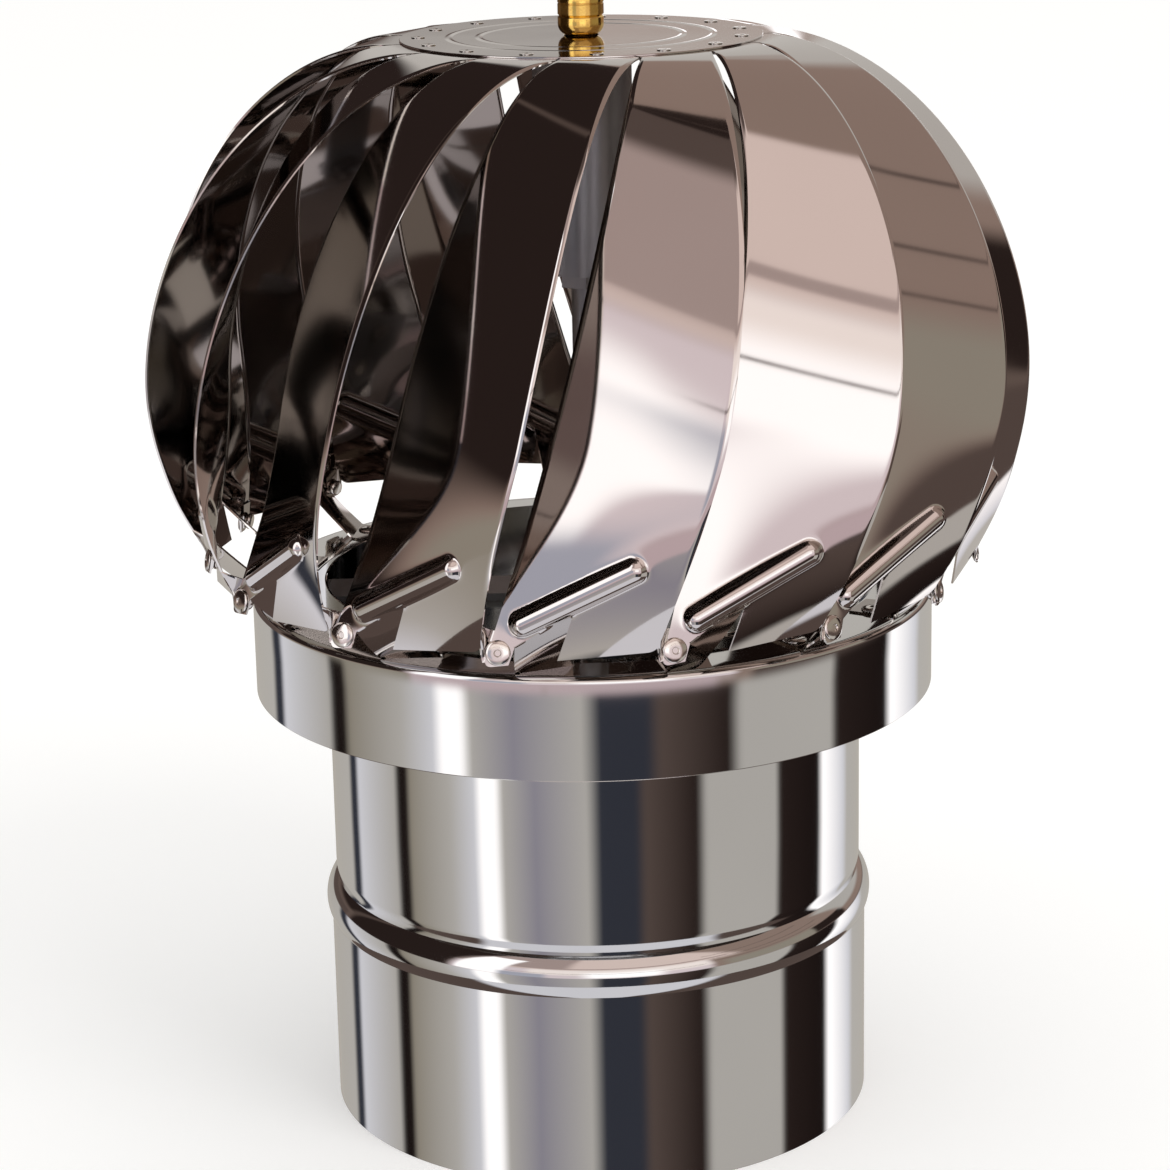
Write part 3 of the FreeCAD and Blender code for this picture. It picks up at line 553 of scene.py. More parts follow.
# %% Pressed rib and rolled edges
RIB_DROPS, RIB_SHARES = np.array([10.5, 25.5]), np.array([0.15, 0.70])
RIB_R, RIB_KNEE, RIB_FILLET = 3.1, 0.93, 0.7
FAR_BELOW = 10.0
ROLL_DEPTH, ROLL_WIDTH, ROLL_FADE, TAB_FADE = 0.5, 1.4, (34.0, 16.0), 0.06


def soft_maximum(lift):
    """The larger of lift and 0, with a fillet between them, and 0 where lift is far below."""
    def rounded(value):
        return 0.5 * (value + np.sqrt(value ** 2 + RIB_FILLET ** 2))
    return rounded(lift) - rounded(-FAR_BELOW)


def rib_height(points, normals):
    """How far the pressed rib lifts each point: a half round of radius RIB_R about the straight
    line between its ends. From the knee on, it falls in a straight line to the sheet."""
    ends = share_at_drop(RIB_DROPS), RIB_SHARES
    start, end = strip(*ends) - strip_normal(*ends) * SHEET
    axis = end - start
    share = np.clip((points - start) @ axis / (axis @ axis), 0, 1)
    away = points - (start + share[..., None] * axis)
    above = np.sum(away * normals, axis=-1)
    side = np.sqrt(np.clip(np.sum(away * away, axis=-1) - above ** 2, 0, None))
    knee = RIB_KNEE * RIB_R
    round_part = np.sqrt(RIB_R ** 2 - np.minimum(side, knee) ** 2)
    slope = knee / math.sqrt(RIB_R ** 2 - knee ** 2)
    return soft_maximum(round_part - slope * np.clip(side - knee, 0, None) - above)


def edge_roll(u, v):
    """How far the sheet turns in at its two long edges: a parabola over the last ROLL_WIDTH
    millimetres. It fades out at the tab and at the foot, where the sheets lie on each other."""
    from_edge = np.minimum(v, 1 - v) * strip_width(u)
    to_foot = smooth_step(u, *[share_at_drop(drop) for drop in ROLL_FADE])
    fade = smooth_step(u, 0.0, TAB_FADE) * (1 - to_foot)
    return ROLL_DEPTH * np.clip(1 - from_edge / ROLL_WIDTH, 0, 1) ** 2 * fade


normals = strip_normal(u, v)
sheet = strip(u, v)
rib = rib_height(sheet, normals)
sheet = sheet + normals * (rib - edge_roll(u, v))[..., None]
print("rib stands", round(float(rib.max()), 2), "mm proud")

# %% [markdown]
# ## Rim tab, lug and flap
#
# Three parts of the blank are folded: a tab goes flat under the disc, a lug reaches behind the next
# blade to be riveted to it, and a flap goes down to the lid and ends in a flat toe. Separate plates
# would need joints that the real blade doesn't have, so each is a small grid that starts from the
# strip's own points.

# %% Rim tab, lug and flap
TAB_R = 38.5
LUG_BOTTOM, LUG_STEP_V, LUG_REACH_V, LUG_GAP = 1.2, -0.012, 0.125, 0.05
FLAP_BULGE, FLAP_FACING = 0.8, -8.0
# The two ends of the line where the flap lands on the lid, and of the toe's free edge.
FLAP_SIDES, LAND_RADII, TOE_RADII = (-12.5, -3.6), (91.2, 83.0), (78.6, 78.6)
LAND, TOE = [[polar(r, side, LID_TOP) for r, side in zip(radii, FLAP_SIDES)]
             for radii in (LAND_RADII, TOE_RADII)]


def ruled(ends, count):
    """Evenly spaced points on the straight line between two ends."""
    share = np.linspace(0, 1, count)[:, None]
    return ends[0] * (1 - share) + ends[1] * share


def tab_rows(first_row, steps=8):
    """Flat rows from the strip's top edge in under the disc. The tab's sides point to the axis."""
    inner_corners = first_row[[0, -1]] * np.array([TAB_R / RIM_R, TAB_R / RIM_R, 1.0])
    t = np.linspace(0, 1, steps + 1)[:-1, None, None]
    return ruled(inner_corners, len(first_row)) * (1 - t) + first_row * t


def lug_columns(rows, u_rows):
    """Columns past the leading edge: a step down to the next sheet's back, then on behind it."""
    behind = []
    for place in (LUG_STEP_V, LUG_REACH_V):
        across = np.full_like(u_rows, place)
        back = strip(u_rows, across) - strip_normal(u_rows, across) * (SHEET + LUG_GAP)
        behind.append(turn(back, PITCH))
    step, reach = behind
    near = [rows + (step - rows) * t for t in (1 / 3, 2 / 3)]
    far = [step + (reach - step) * t for t in np.linspace(0, 1, 9)]
    return np.stack(near + far, axis=1)


def flap_rows(fold_row, steps=14, toe_steps=8):
    """Ruled rows from the fold down to the landing line, bowed out a little, then the flat toe."""
    land, toe = ruled(LAND, len(fold_row)), ruled(TOE, len(fold_row))
    t = np.linspace(0, 1, steps + 1)[1:, None, None]
    bow = polar(1.0, FLAP_FACING, 0.0) * FLAP_BULGE * np.sin(np.pi * t)
    fall = fold_row * (1 - t) + land * t + bow
    s = np.linspace(0, 1, toe_steps + 1)[1:, None, None]
    return np.concatenate([fall, land * (1 - s) + toe * s])


tab = tab_rows(sheet[0])
body = np.concatenate([tab, sheet])
fold = len(tab) + FOLD_ROW
lug_rows = np.arange(fold, fold + int(np.argmin(np.abs(DROPS_LOW - LUG_BOTTOM))) + 1)
lug = lug_columns(body[lug_rows, -1], u[lug_rows - len(tab), -1])
flap = flap_rows(body[fold, FIRST_FOLD:LAST_FOLD + 1])
print("tab", tab.shape, "lug", lug.shape, "flap", flap.shape)

# %% [markdown]
# ## One skin from four grids
#
# Tab and strip are rows of one grid. The lug is joined to its leading edge and the flap to the fold
# line, by faces that use the points there, so the skin has no seam. Below the fold line the strip's
# own faces are left out, because that part of the blank is the flap.

# %% One skin
def numbered(grid, first):
    """Point numbers of a grid whose first point has the number first."""
    return first + np.arange(grid[..., 0].size).reshape(grid.shape[:2])


def blade_mesh():
    """All points of one blade and the faces that join them."""
    body_numbers = numbered(body, 0)
    lug_numbers = numbered(lug, body_numbers.size)
    flap_numbers = numbered(flap, body_numbers.size + lug_numbers.size)
    faces = joined(body_numbers)
    row, column = faces[:, 0] // len(COLUMNS), faces[:, 0] % len(COLUMNS)
    gone = (row >= fold) & (column >= FIRST_FOLD) & (column < LAST_FOLD)
    past_edge = np.concatenate([body_numbers[lug_rows, -1:], lug_numbers], axis=1)
    fold_line = body_numbers[fold:fold + 1, FIRST_FOLD:LAST_FOLD + 1]
    below_fold = np.concatenate([fold_line, flap_numbers])
    points = np.concatenate([grid.reshape(-1, 3) for grid in (body, lug, flap)])
    return points, np.concatenate([faces[~gone], joined(past_edge), joined(below_fold)])


blade_points, blade_faces = blade_mesh()
print("blade points", len(blade_points), "faces", len(blade_faces))

# %% [markdown]
# ## Thickness and fifteen blades
#
# So far a blade is a surface. Solidify gives it the 0.5 mm of the real sheet, inwards, and a narrow
# Bevel breaks the sheared edges, so that each edge carries a bright line. The result is made into a
# plain mesh once and then turned fourteen times, because every blade comes off the same press tool.

# %% Thickness and fifteen blades
BROKEN_EDGE, BROKEN_FROM_DEG, HARD_FROM_DEG = 0.1, 55, 38


def used_only(points, faces):
    """Drops the points that no face uses."""
    kept, numbers = np.unique(faces, return_inverse=True)
    return points[kept], numbers.reshape(faces.shape)


def blade_sheet():
    """One blade with its thickness and its slightly broken edges. The sheet's rim and its back take
    the second and the third material."""
    pattern = make_piece("blade_pattern", *used_only(blade_points, blade_faces), sharp_deg=180)
    solid = pattern.modifiers.new("sheet thickness", "SOLIDIFY")
    solid.thickness, solid.offset = SHEET * MM, -1
    # The rim takes the lighter edge steel, partly a painted highlight.
    solid.material_offset_rim, solid.material_offset = 1, 2
    # The back takes the darker steel, painted shade inside the head.
    for steel in (blade_steel, highlight_edge_steel, shaded_back_steel):
        pattern.data.materials.append(steel)
    soft = pattern.modifiers.new("broken edge", "BEVEL")
    soft.width, soft.segments = BROKEN_EDGE * MM, 1
    soft.limit_method, soft.angle_limit = "ANGLE", math.radians(BROKEN_FROM_DEG)
    bpy.context.view_layer.update()
    depsgraph = bpy.context.evaluated_depsgraph_get()
    mesh = bpy.data.meshes.new_from_object(pattern.evaluated_get(depsgraph))
    mesh.name = "blade_sheet"
    mesh.set_sharp_from_angle(angle=math.radians(HARD_FROM_DEG))
    bpy.data.objects.remove(pattern)
    return mesh


def turned_copy(mesh, name, degrees):
    """A copy of a mesh whose points are turned about the Z axis."""
    copy = mesh.copy()
    copy.name = name
    places = np.empty(len(copy.vertices) * 3, np.float32)
    copy.vertices.foreach_get("co", places)
    copy.vertices.foreach_set("co", turn(places.reshape(-1, 3), degrees).astype(np.float32).ravel())
    copy.update()
    return placed(name, copy)


pattern_mesh = blade_sheet()
for i in range(BLADE_COUNT):
    piece = turned_copy(pattern_mesh, "rolled_blade_%02d" % (i + 1), i * PITCH)
    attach(piece, "rotor")
    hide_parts("blade_%02d" % (i + 1))
print("blade triangles", sum(len(p.vertices) - 2 for p in pattern_mesh.polygons))

# %% [markdown]
# ## Plainer metals and rubber
#
# Inside the head are plainer parts: zinc-plated bridges and nuts, ground bearing rings, rubber
# seals. One recipe serves all the metals. A fine grain moves the roughness and lifts the surface a
# little, and a wider one drifts the tone, because plating and grinding never come out quite even.

# %% Plainer metals and rubber
ROUGH_RANGE = (0.8, 1.25)
TONE_GRAINS = 5


def plain_metal(name, colours, rough, grain_mm, grain_depth):
    """Duller metal: roughness varies with a fine grain that also lifts the surface a little."""
    material, tree, output, place = new_material(name)
    grain = blotches(tree, place, grain_mm, 3.0)
    low, high = [rough * share for share in ROUGH_RANGE]
    haze = add(tree, "ShaderNodeMapRange", {"Value": grain, "To Min": low, "To Max": high})
    surface(tree, output, grain, 0.6, grain_depth, {
        "Base Color": drift(tree, place, grain_mm * TONE_GRAINS, colours), "Metallic": 1.0,
        "Roughness": haze.outputs["Result"]})
    return material


# Blind rivets are drawn stainless: bright, a little softer than the sheet.
rivet_steel = plain_metal("bright_stainless_rivet", ("#cfcac5", "#dcd7d2"), 0.12, 0.8, 0.00001)
# Zinc plating is bluish and satin, and its crystals blur what it mirrors.
zinc_steel = plain_metal("zinc_plated_steel", ("#b4b8bd", "#c6c9cc"), 0.34, 1.2, 0.00003)
# Ground rings keep a fine haze from the wheel.
bearing_steel = plain_metal("ground_bearing_steel", ("#c4c4c6", "#cfcfd0"), 0.22, 0.5, 0.00001)
# Turned brass is bright yellow with the tool's fine feed marks blurring it a little.
turned_brass = plain_metal("turned_brass", ("#d2a950", "#e8c674"), 0.13, 0.7, 0.00002)


def seal_rubber():
    """Moulded nitrile rubber: near black, satin, with a faint moulding grain."""
    material, tree, output, place = new_material("black_nitrile_rubber")
    grain = blotches(tree, place, 0.4, 2.0)
    haze = add(tree, "ShaderNodeMapRange", {"Value": grain, "To Min": 0.5, "To Max": 0.66})
    surface(tree, output, grain, 0.4, 0.00002, {
        "Base Color": linear("#1b1b1c"), "Roughness": haze.outputs["Result"], "IOR": 1.52})
    return material


finishes = {"rivet_steel": rivet_steel, "zinc_steel": zinc_steel,
            "bearing_steel": bearing_steel, "brass": turned_brass,
            "black_rubber": seal_rubber(), "polished_steel": pipe_steel}
for part in frame["record"]["subparts"]:
    node = nodes[part["node"]]
    node.data.materials.clear()
    node.data.materials.append(finishes[part["material_slot"]])
print("finishes", sorted(finishes))

# %% [markdown]
# ## Blind rivets
#
# The sheets are held by blind rivets, set from outside. Each has a domed head with a small dimple
# where its pin broke off, and a bulged tail behind. One rivet is a profile turned about its own
# axis; copies of it stand square on the sheet at each place, all in one mesh per group.

# %% Rivets
SHANK_R, TAIL_R, TAIL_T = 1.6, 2.3, 1.6
BRIM_T, BRIM_ROUND, BRIM_CHAMFER = 0.14, 0.1, 0.06
DIMPLE_LIP, DIMPLE_CHAMFER, DIMPLE_FLOOR_R, DIMPLE_DEPTH = 0.1, 0.08, 0.8, 0.6
# A head's radius, its height and its dimple's radius.
LARGE_HEAD, LOW_HEAD = (3.2, 0.8, 0.9), (1.9, 0.24, 0.4)
FLAT_GAP, CURVE_GAP = 0.05, 0.12
CORNER_DROP, CORNER_V = 3.4, 0.062
FOOT_RIVET_R, FOOT_RIVET_AZ = 84.0, -10.0
RIM_RIVET_R, TAB_AZ = 43.0, 29.1
UP = np.array([0.0, 0.0, 1.0])
# Any direction that no rivet stands along.
ASKEW = np.array([0.3, 0.2, -0.9])


def rivet_profile(head, grip, gap):
    """From the tail up: a bulged tail, the shank, a thin brim, a dome that is a quarter ellipse
    from the brim to the dimple's edge, and the dimple."""
    head_r, head_t, dimple_r = head
    back = -grip - gap
    tail = arc((SHANK_R, back - TAIL_T / 2), TAIL_R - SHANK_R, -90, 90, 9, TAIL_T / 2)
    rise = head_t - BRIM_T
    brim = [(SHANK_R, gap), (head_r - BRIM_ROUND, gap), (head_r, gap + BRIM_CHAMFER)]
    dome_r = dimple_r + DIMPLE_LIP
    dome = arc((dome_r, gap + BRIM_T), head_r - dome_r, 0, 90, 12, rise)
    top = gap + head_t
    floor_z = top - DIMPLE_DEPTH * rise
    dimple = [(dimple_r, top - DIMPLE_CHAMFER), (dimple_r * DIMPLE_FLOOR_R, floor_z), (0, floor_z)]
    return [(0, back - TAIL_T)] + tail + brim + dome + dimple


def stand_on(points, faces, places, directions):
    """Copies of one Z-built solid, each with its zero at a place and its Z along a direction."""
    up = directions / np.linalg.norm(directions, axis=1, keepdims=True)
    side = np.cross(ASKEW, up)
    side /= np.linalg.norm(side, axis=1, keepdims=True)
    axes = np.stack([side, np.cross(up, side), up], axis=1)
    copies = places[:, None, :] + np.einsum("pk,ckx->cpx", points, axes)
    numbers = faces[None] + (np.arange(len(places)) * len(points))[:, None, None]
    return copies.reshape(-1, 3), numbers.reshape(-1, faces.shape[1])


def rivet_group(name, node, profile, place, direction):
    """One rivet fifteen times round the axis, in one mesh, in place of its CAD node."""
    places, ups = [np.array([turn(vector, i * PITCH) for i in range(BLADE_COUNT)])
                   for vector in (place, direction)]
    piece = make_piece(name, *stand_on(*spun(profile, 32), places, ups), sharp_deg=40)
    dress(piece, "rotor", rivet_steel, node)


corner_u, corner_v = np.array(share_at_drop(CORNER_DROP)), np.array(CORNER_V)
rivet_group("corner_blind_rivets", "corner_rivets",
            rivet_profile(LARGE_HEAD, 2 * SHEET + LUG_GAP, CURVE_GAP),
            strip(corner_u, corner_v), strip_normal(corner_u, corner_v))
rivet_group("foot_blind_rivets", "foot_rivets", rivet_profile(LARGE_HEAD, 2 * SHEET, FLAT_GAP),
            polar(FOOT_RIVET_R, FOOT_RIVET_AZ, LID_TOP + SHEET), UP)
rivet_group("rim_blind_rivets", "rim_rivets", rivet_profile(LOW_HEAD, 2 * SHEET, FLAT_GAP),
            polar(RIM_RIVET_R, TAB_AZ, CROWN_Z + SHEET), UP)

# %% [markdown]
# ## Brass nuts
#
# A round nut and a domed cap nut hold the head on its spindle. They are turned on a lathe, so one
# profile makes each. A shallow groove round the cap nut and a fine chamfer on each corner catch the
# thin highlights of turned brass.

# %% Brass nuts
BRASS_BORE_R, BRASS_COLLAR_R, BRASS_R = 3.05, 3.8, 6.1
NUT_LOW, DISC_TOP, NUT_FLARE_TOP, NUT_TOP = 294.4, 296.1, 299.5, 301.3
CAP_BAND_TOP, CAP_TOP, CAP_CEILING = 305.3, 310.5, 307.65
NUT_FLARE_VIA = (5.525, 297.29)
BRASS_CHAMFER, COLLAR_CHAMFER = 0.4, 0.1
# The chamfer starts with a small round: its points' distances in from the band and up.
CHAMFER_ROUND = ((0.0, -0.05), (0.06, 0.08))
GROOVE_DROP, GROOVE_HALF, GROOVE_FLOOR_HALF, GROOVE_DEPTH = 0.7, 0.22, 0.1, 0.16


def nut_profile():
    """Collar up through the disc, a flare by an arc to the full radius, a band and a chamfer."""
    collar = [(BRASS_COLLAR_R - COLLAR_CHAMFER, NUT_LOW),
              (BRASS_COLLAR_R, NUT_LOW + COLLAR_CHAMFER)]
    flare = three_point_arc((BRASS_COLLAR_R, DISC_TOP), NUT_FLARE_VIA, (BRASS_R, NUT_FLARE_TOP), 15)
    band = [(BRASS_R - inset, NUT_TOP - BRASS_CHAMFER + rise) for inset, rise in CHAMFER_ROUND]
    top = [(BRASS_R - BRASS_CHAMFER, NUT_TOP), (BRASS_BORE_R, NUT_TOP), (BRASS_BORE_R, NUT_LOW)]
    return collar + flare + band + top


def cap_profile():
    """From the ceiling of the blind hole down its wall, out under the nut, up a band with one fine
    groove and over the dome, which is a part of a sphere, to the top."""
    rise = CAP_TOP - CAP_BAND_TOP
    dome_r = (BRASS_R ** 2 + rise ** 2) / (2 * rise)
    dome_start = math.degrees(math.acos(BRASS_R / dome_r))
    dome = arc((0, CAP_TOP - dome_r), dome_r, dome_start, 90, 22)[:-1]
    groove_z, floor_r = CAP_BAND_TOP - GROOVE_DROP, BRASS_R - GROOVE_DEPTH
    groove = [(BRASS_R, groove_z - GROOVE_HALF), (floor_r, groove_z - GROOVE_FLOOR_HALF),
              (floor_r, groove_z + GROOVE_FLOOR_HALF), (BRASS_R, groove_z + GROOVE_HALF)]
    hole = [(0, CAP_CEILING), (BRASS_BORE_R, CAP_CEILING), (BRASS_BORE_R, NUT_TOP)]
    corner = [(BRASS_R - BRASS_CHAMFER, NUT_TOP), (BRASS_R, NUT_TOP + BRASS_CHAMFER)]
    return hole + corner + groove + dome + [(0, CAP_TOP)]


dress(lathe("turned_brass_nut", nut_profile(), 96), "base", turned_brass, "brass_nut")
cap = make_piece("turned_brass_cap_nut", *spun(cap_profile(), 96))
dress(cap, "base", turned_brass, "brass_cap_nut")

# %% [markdown]
# ## Floor
#
# The floor only has to be pale and take the shadow. Diffuse paint takes it; a little glow that only
# the camera sees lifts the paper to white without lighting the object.

# %% Floor
FLOOR_HALF, FLOOR_GLOW = 12.0, 0.23


def pale_floor():
    """Matt white card: diffuse, with a glow for camera rays."""
    material, tree, output, _ = new_material("matt_white_card")
    seen = add(tree, "ShaderNodeLightPath").outputs["Is Camera Ray"]
    paint = add(tree, "ShaderNodeBsdfDiffuse", {"Color": linear("#f1f0ee")})
    strength = add(tree, "ShaderNodeMapRange", {"Value": seen, "To Min": 0, "To Max": FLOOR_GLOW})
    glow = add(tree, "ShaderNodeEmission", {
        "Color": linear("#ffffff"), "Strength": strength.outputs["Result"]})
    both = add(tree, "ShaderNodeAddShader", {0: paint.outputs[0], 1: glow.outputs[0]})
    tree.links.new(both.outputs[0], output.inputs["Surface"])
    return material


corners = np.array([(-1, -1, 0), (1, -1, 0), (1, 1, 0), (-1, 1, 0)]) * FLOOR_HALF / MM
floor = make_piece("floor", corners, np.array([[0, 1, 2, 3]]))
floor.data.materials.append(pale_floor())
floor.visible_glossy = False
print("floor", FLOOR_HALF * 2, "m square")

# %% [markdown]
# ## What the steel reflects
#
# A mirror has no colour of its own: it shows the studio. A photographer sets white, beige and dark
# card round a shiny thing. The same is done here with plain cards: white ones in front, warm ones
# above, dark ones at the left and grey-brown ones at the right. Each card has soft edges.

# %% Reflected studio
TENT_R, TENT_Z, TENT_STRENGTH, WRAP = 2600.0, 200.0, 1.8, 20
SHADES = {"white": "#fbf9fa", "pale": "#ddd3cf", "beige": "#c2b1ab", "rose": "#948480",
          "brown": "#7d6c64", "umber": "#4a3f3b", "dark": "#221a18", "black": "#171110",
          "grey": "#9f9c98", "slate": "#7d7a84", "steel": "#bcbcc2", "olive": "#807a70",
          "lilac": "#c3b7bb", "navy": "#2b2d35", "mauve": "#ab9a9e", "blue": "#9597a3"}
# Each card: azimuth from and to, elevation from and to (degrees), soft edge (degrees), shade.
CARDS = [
    # below, above and the dark side
    (-180, 180, -90, -33, 5, "umber"), (-56, 56, -90, -35, 8, "steel"),
    (-62, 62, 24, 78, 8, "beige"), (-70, -14, 29, 78, 7, "rose"), (-70, 48, 70, 90, 9, "umber"),
    (62, 150, 30, 90, 14, "brown"), (-180, -124, 8, 90, 12, "dark"), (-124, -62, -6, 90, 8, "dark"),
    # front, with two white cards
    (-62, 46, -14, 25, 5, "lilac"), (-30, 46, 8, 26, 6, "pale"), (-60, -39.5, -3, 52, 2.5, "white"),
    (-6, 25, -2, 17, 9, "white"), (-41, -22, -10, 9, 5, "blue"),
    # joints between the cards
    (-39, 58, 29, 32, 1.0, "rose"), (-39, 44, 12.2, 12.9, 0.5, "umber"),
    (48, 110, 38, 38.7, 0.5, "umber"), (48, 110, 25.6, 26.3, 0.5, "umber"),
    (48, 104, 17.6, 18.2, 0.5, "umber"),
    # right
    (52, 100, -4, 14, 8, "olive"), (52, 104, -34, -5, 5, "umber"),
    # far right and behind
    (98, 120, -3, 13, 3, "dark"), (120, 168, 8, 34, 6, "grey"), (158, 180, 3, 7, 2, "white"),
    (98, 164, -32, -3, 5, "umber"), (160, 180, 9, 30, 5, "grey"), (-180, -168, 3, 26, 5, "grey"),
    # low front and left
    (-62, -16, -33, -13, 4, "mauve"), (-16, 40, -33, -13, 5, "mauve"),
    (-124, -62, -33, -10, 5, "olive"), (-180, -124, -33, 8, 8, "umber"),
]
print(len(CARDS), "cards in", len({card[-1] for card in CARDS}), "shades")

# %% [markdown]
# ## Painting by direction
#
# Separate planes would leave gaps and hide each other. One big glowing sphere, seen only in
# reflections, can't: its material finds the direction of each point as seen from the head, and lays
# the cards over one another by it.

# %% Cards on a sphere
def in_span(tree, value, low, high, soft):
    """1 where a value lies between low and high, fading out over soft at each end."""
    half, middle = (high - low) / 2, (low + high) / 2
    off = add(tree, "ShaderNodeMath", {0: value, 1: middle}, operation="SUBTRACT").outputs[0]
    off = add(tree, "ShaderNodeMath", {0: off}, operation="ABSOLUTE").outputs[0]
    return add(tree, "ShaderNodeMapRange", {
        "Value": off, "From Min": half + soft / 2, "From Max": half - soft / 2},
        interpolation_type="SMOOTHSTEP").outputs["Result"]


def directions(tree, place):
    """Azimuth from the front and elevation, in degrees, as seen from the middle of the head."""
    to_middle = {"Vector": place, "Location": (0, 0, -TENT_Z * MM)}
    centred = add(tree, "ShaderNodeMapping", to_middle).outputs[0]
    unit = add(tree, "ShaderNodeVectorMath", {0: centred}, operation="NORMALIZE").outputs[0]
    x, y, z = add(tree, "ShaderNodeSeparateXYZ", {"Vector": unit}).outputs
    ahead = add(tree, "ShaderNodeMath", {0: y, 1: -1.0}, operation="MULTIPLY").outputs[0]
    azimuth = add(tree, "ShaderNodeMath", {0: x, 1: ahead}, operation="ARCTAN2").outputs[0]
    rise = add(tree, "ShaderNodeMath", {0: z}, operation="ARCSINE").outputs[0]
    return [add(tree, "ShaderNodeMath", {0: angle}, operation="DEGREES").outputs[0]
            for angle in (azimuth, rise)]


def studio_cards():
    """Glow whose colour depends only on the direction from the object. A card that ends at the back
    or straight up goes on by WRAP degrees, so that it doesn't fade out there."""
    material, tree, output, place = new_material("painted_studio_cards")
    azimuth, rise = directions(tree, place)
    colour = linear(SHADES["brown"])
    for az_low, az_high, low, high, soft, shade in CARDS:
        wide = in_span(tree, azimuth, az_low - WRAP * (az_low == -180),
                       az_high + WRAP * (az_high == 180), soft)
        tall = in_span(tree, rise, low, high + WRAP * (high == 90), soft)
        there = add(tree, "ShaderNodeMath", {0: wide, 1: tall}, operation="MULTIPLY").outputs[0]
        colour = add(tree, "ShaderNodeMix", {
            "Factor": there, "A": colour, "B": linear(SHADES[shade])},
            data_type="RGBA").outputs["Result"]
    glow = add(tree, "ShaderNodeEmission", {"Color": colour, "Strength": TENT_STRENGTH})
    tree.links.new(glow.outputs[0], output.inputs["Surface"])
    return material


def reflected_only(piece, material):
    """Seen in reflections and nowhere else; it is attached to no body."""
    piece.data.materials.append(material)
    piece.visible_camera = piece.visible_diffuse = False
    piece.visible_shadow = piece.visible_transmission = False


tent_side = arc((0, TENT_Z), TENT_R, -90, 90, 49)
reflected_only(lathe("reflected_studio", tent_side, 96, closed=False), studio_cards())
print("reflected studio", TENT_R * MM, "m in radius")

# %% [markdown]
# ## What the pipe reflects
#
# The upright walls of neck and drum mirror what stands close round the object at table height, as
# tall narrow streaks. A low ring of light and dark card does that. It is near, so the pipe sees it
# and the blades above look over it.

# %% Streak ring
RING_R, RING_LOW, RING_TOP, RING_FADE = 420.0, -190.0, 62.0, 14.0
# Azimuth in degrees and shade. Two stops of one shade give a flat streak between them.
STREAKS = [
    (-180, "olive"), (-126, "grey"), (-123, "navy"), (-119, "navy"), (-116, "steel"),
    (-90, "grey"), (-87, "black"), (-83, "black"), (-80, "olive"), (-60, "grey"), (-49, "steel"),
    (-46, "white"), (-40, "white"), (-37, "grey"), (-24, "slate"), (-4, "grey"), (1, "navy"),
    (15, "navy"), (19, "umber"), (40, "dark"), (44, "grey"), (76, "grey"), (79, "dark"),
    (103, "black"), (107, "white"), (126, "steel"), (131, "grey"), (180, "olive")]


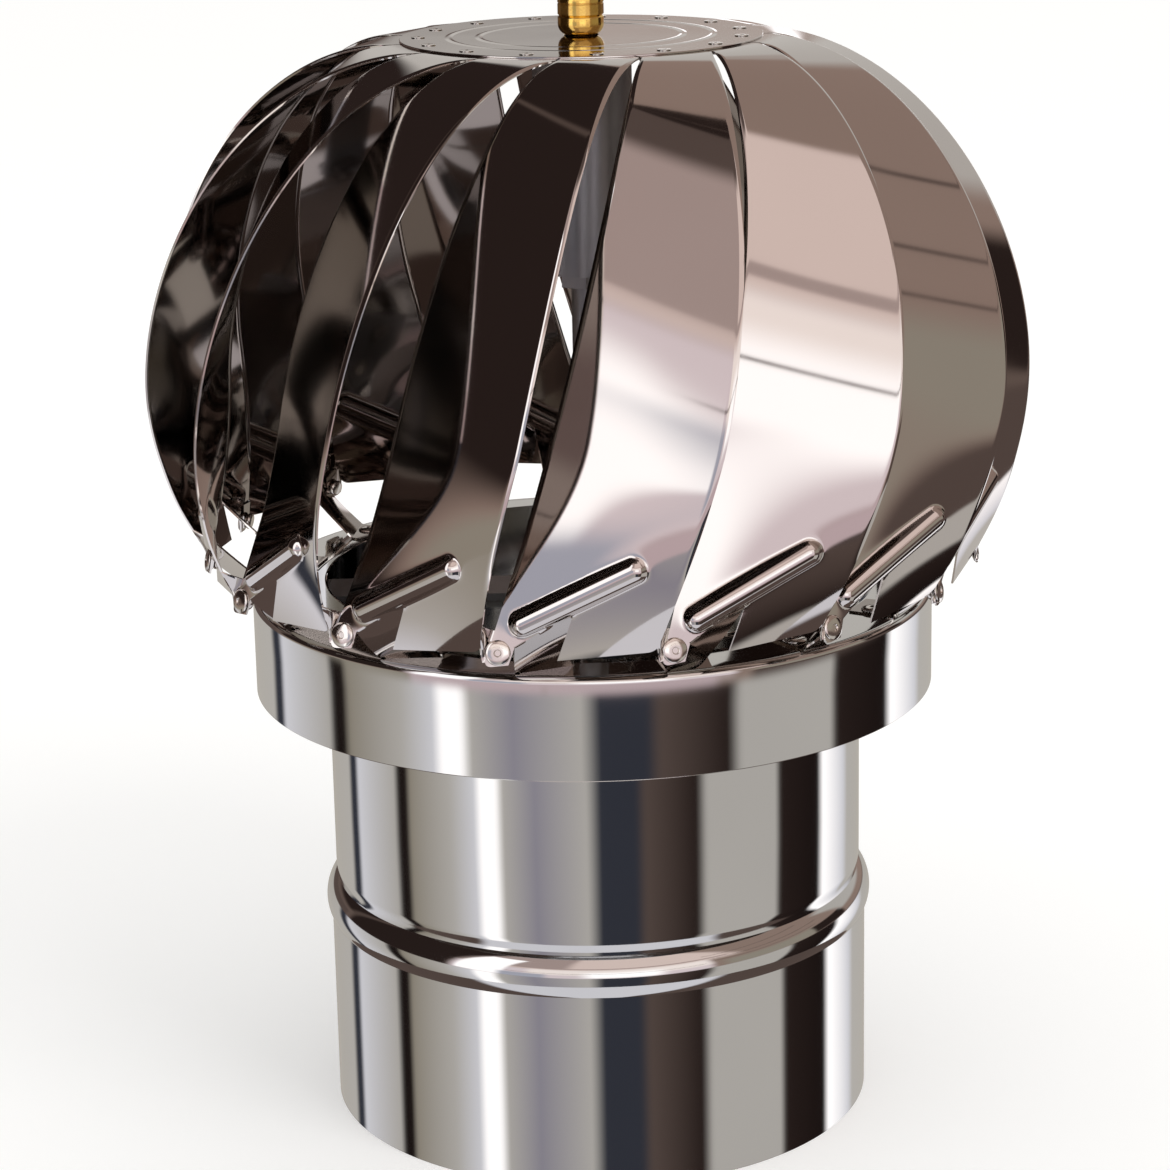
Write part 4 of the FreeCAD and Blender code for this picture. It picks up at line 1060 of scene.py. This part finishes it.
def streak_ring_card():
    """Glow by azimuth, fading to nothing at the ring's top edge."""
    material, tree, output, place = new_material("streaked_card")
    azimuth, _ = directions(tree, place)
    around = add(tree, "ShaderNodeMapRange", {
        "Value": azimuth, "From Min": -180.0, "From Max": 180.0}).outputs["Result"]
    ramp = add(tree, "ShaderNodeValToRGB", {"Fac": around})
    stops = ramp.color_ramp.elements
    stops.remove(stops[-1])
    stops[0].position, stops[0].color = 0.0, linear(SHADES[STREAKS[0][1]])
    for degrees, shade in STREAKS[1:]:
        stops.new((degrees + 180) / 360).color = linear(SHADES[shade])
    height = add(tree, "ShaderNodeSeparateXYZ", {"Vector": place}).outputs["Z"]
    shown = add(tree, "ShaderNodeMapRange", {
        "Value": height, "From Min": RING_TOP * MM, "From Max": (RING_TOP - RING_FADE) * MM},
        interpolation_type="SMOOTHSTEP").outputs["Result"]
    glow = add(tree, "ShaderNodeEmission", {
        "Color": ramp.outputs["Color"], "Strength": TENT_STRENGTH})
    clear = add(tree, "ShaderNodeBsdfTransparent")
    card = add(tree, "ShaderNodeMixShader", {0: shown, 1: clear.outputs[0], 2: glow.outputs[0]})
    tree.links.new(card.outputs[0], output.inputs["Surface"])
    return material


ring_side = [(RING_R, RING_LOW), (RING_R, RING_TOP)]
reflected_only(lathe("reflected_streaks", ring_side, 180, closed=False), streak_ring_card())
print("streaks", len(STREAKS))

# %% [markdown]
# ## White surroundings and one lamp
#
# The world is plain white for the camera and a little lower as light, so a matt colour comes out
# about as it is written. One large softbox, invisible in reflections, gives the floor its shadow.

# %% World and lamp
AMBIENT = 0.85
LAMP_PLACE, LAMP_SIZE, LAMP_WATTS = (1.6, -1.8, 2.4), 1.4, 22
MIDDLE = (0, 0, 0.15)


def white_world():
    """White where it is seen, straight or in a mirror, and AMBIENT as light on matt things."""
    world = bpy.data.worlds.new("white studio")
    world.use_nodes = True
    tree = world.node_tree
    tree.nodes.clear()
    ray = add(tree, "ShaderNodeLightPath").outputs
    seen = ray["Is Camera Ray"]
    for other in ("Is Glossy Ray", "Is Transmission Ray"):
        seen = add(tree, "ShaderNodeMath", {0: seen, 1: ray[other]}, operation="MAXIMUM").outputs[0]
    strength = add(tree, "ShaderNodeMapRange", {"Value": seen, "To Min": AMBIENT, "To Max": 1.0})
    light = add(tree, "ShaderNodeBackground", {
        "Color": linear("#ffffff"), "Strength": strength.outputs["Result"]})
    output = add(tree, "ShaderNodeOutputWorld")
    tree.links.new(light.outputs[0], output.inputs["Surface"])
    return world


bpy.context.scene.world = white_world()
light = bpy.data.lights.new("key_softbox", "AREA")
light.shape, light.size, light.energy = "SQUARE", LAMP_SIZE, LAMP_WATTS
softbox = placed("key_softbox", light)
softbox.location = LAMP_PLACE
# The lamp shines along its own -Z, so that axis is turned towards the middle of the object.
aim = Vector(MIDDLE) - Vector(LAMP_PLACE)
softbox.rotation_euler = aim.to_track_quat("-Z", "Y").to_euler()
softbox.visible_glossy = False
print("lamp", softbox.name, light.energy, "W")
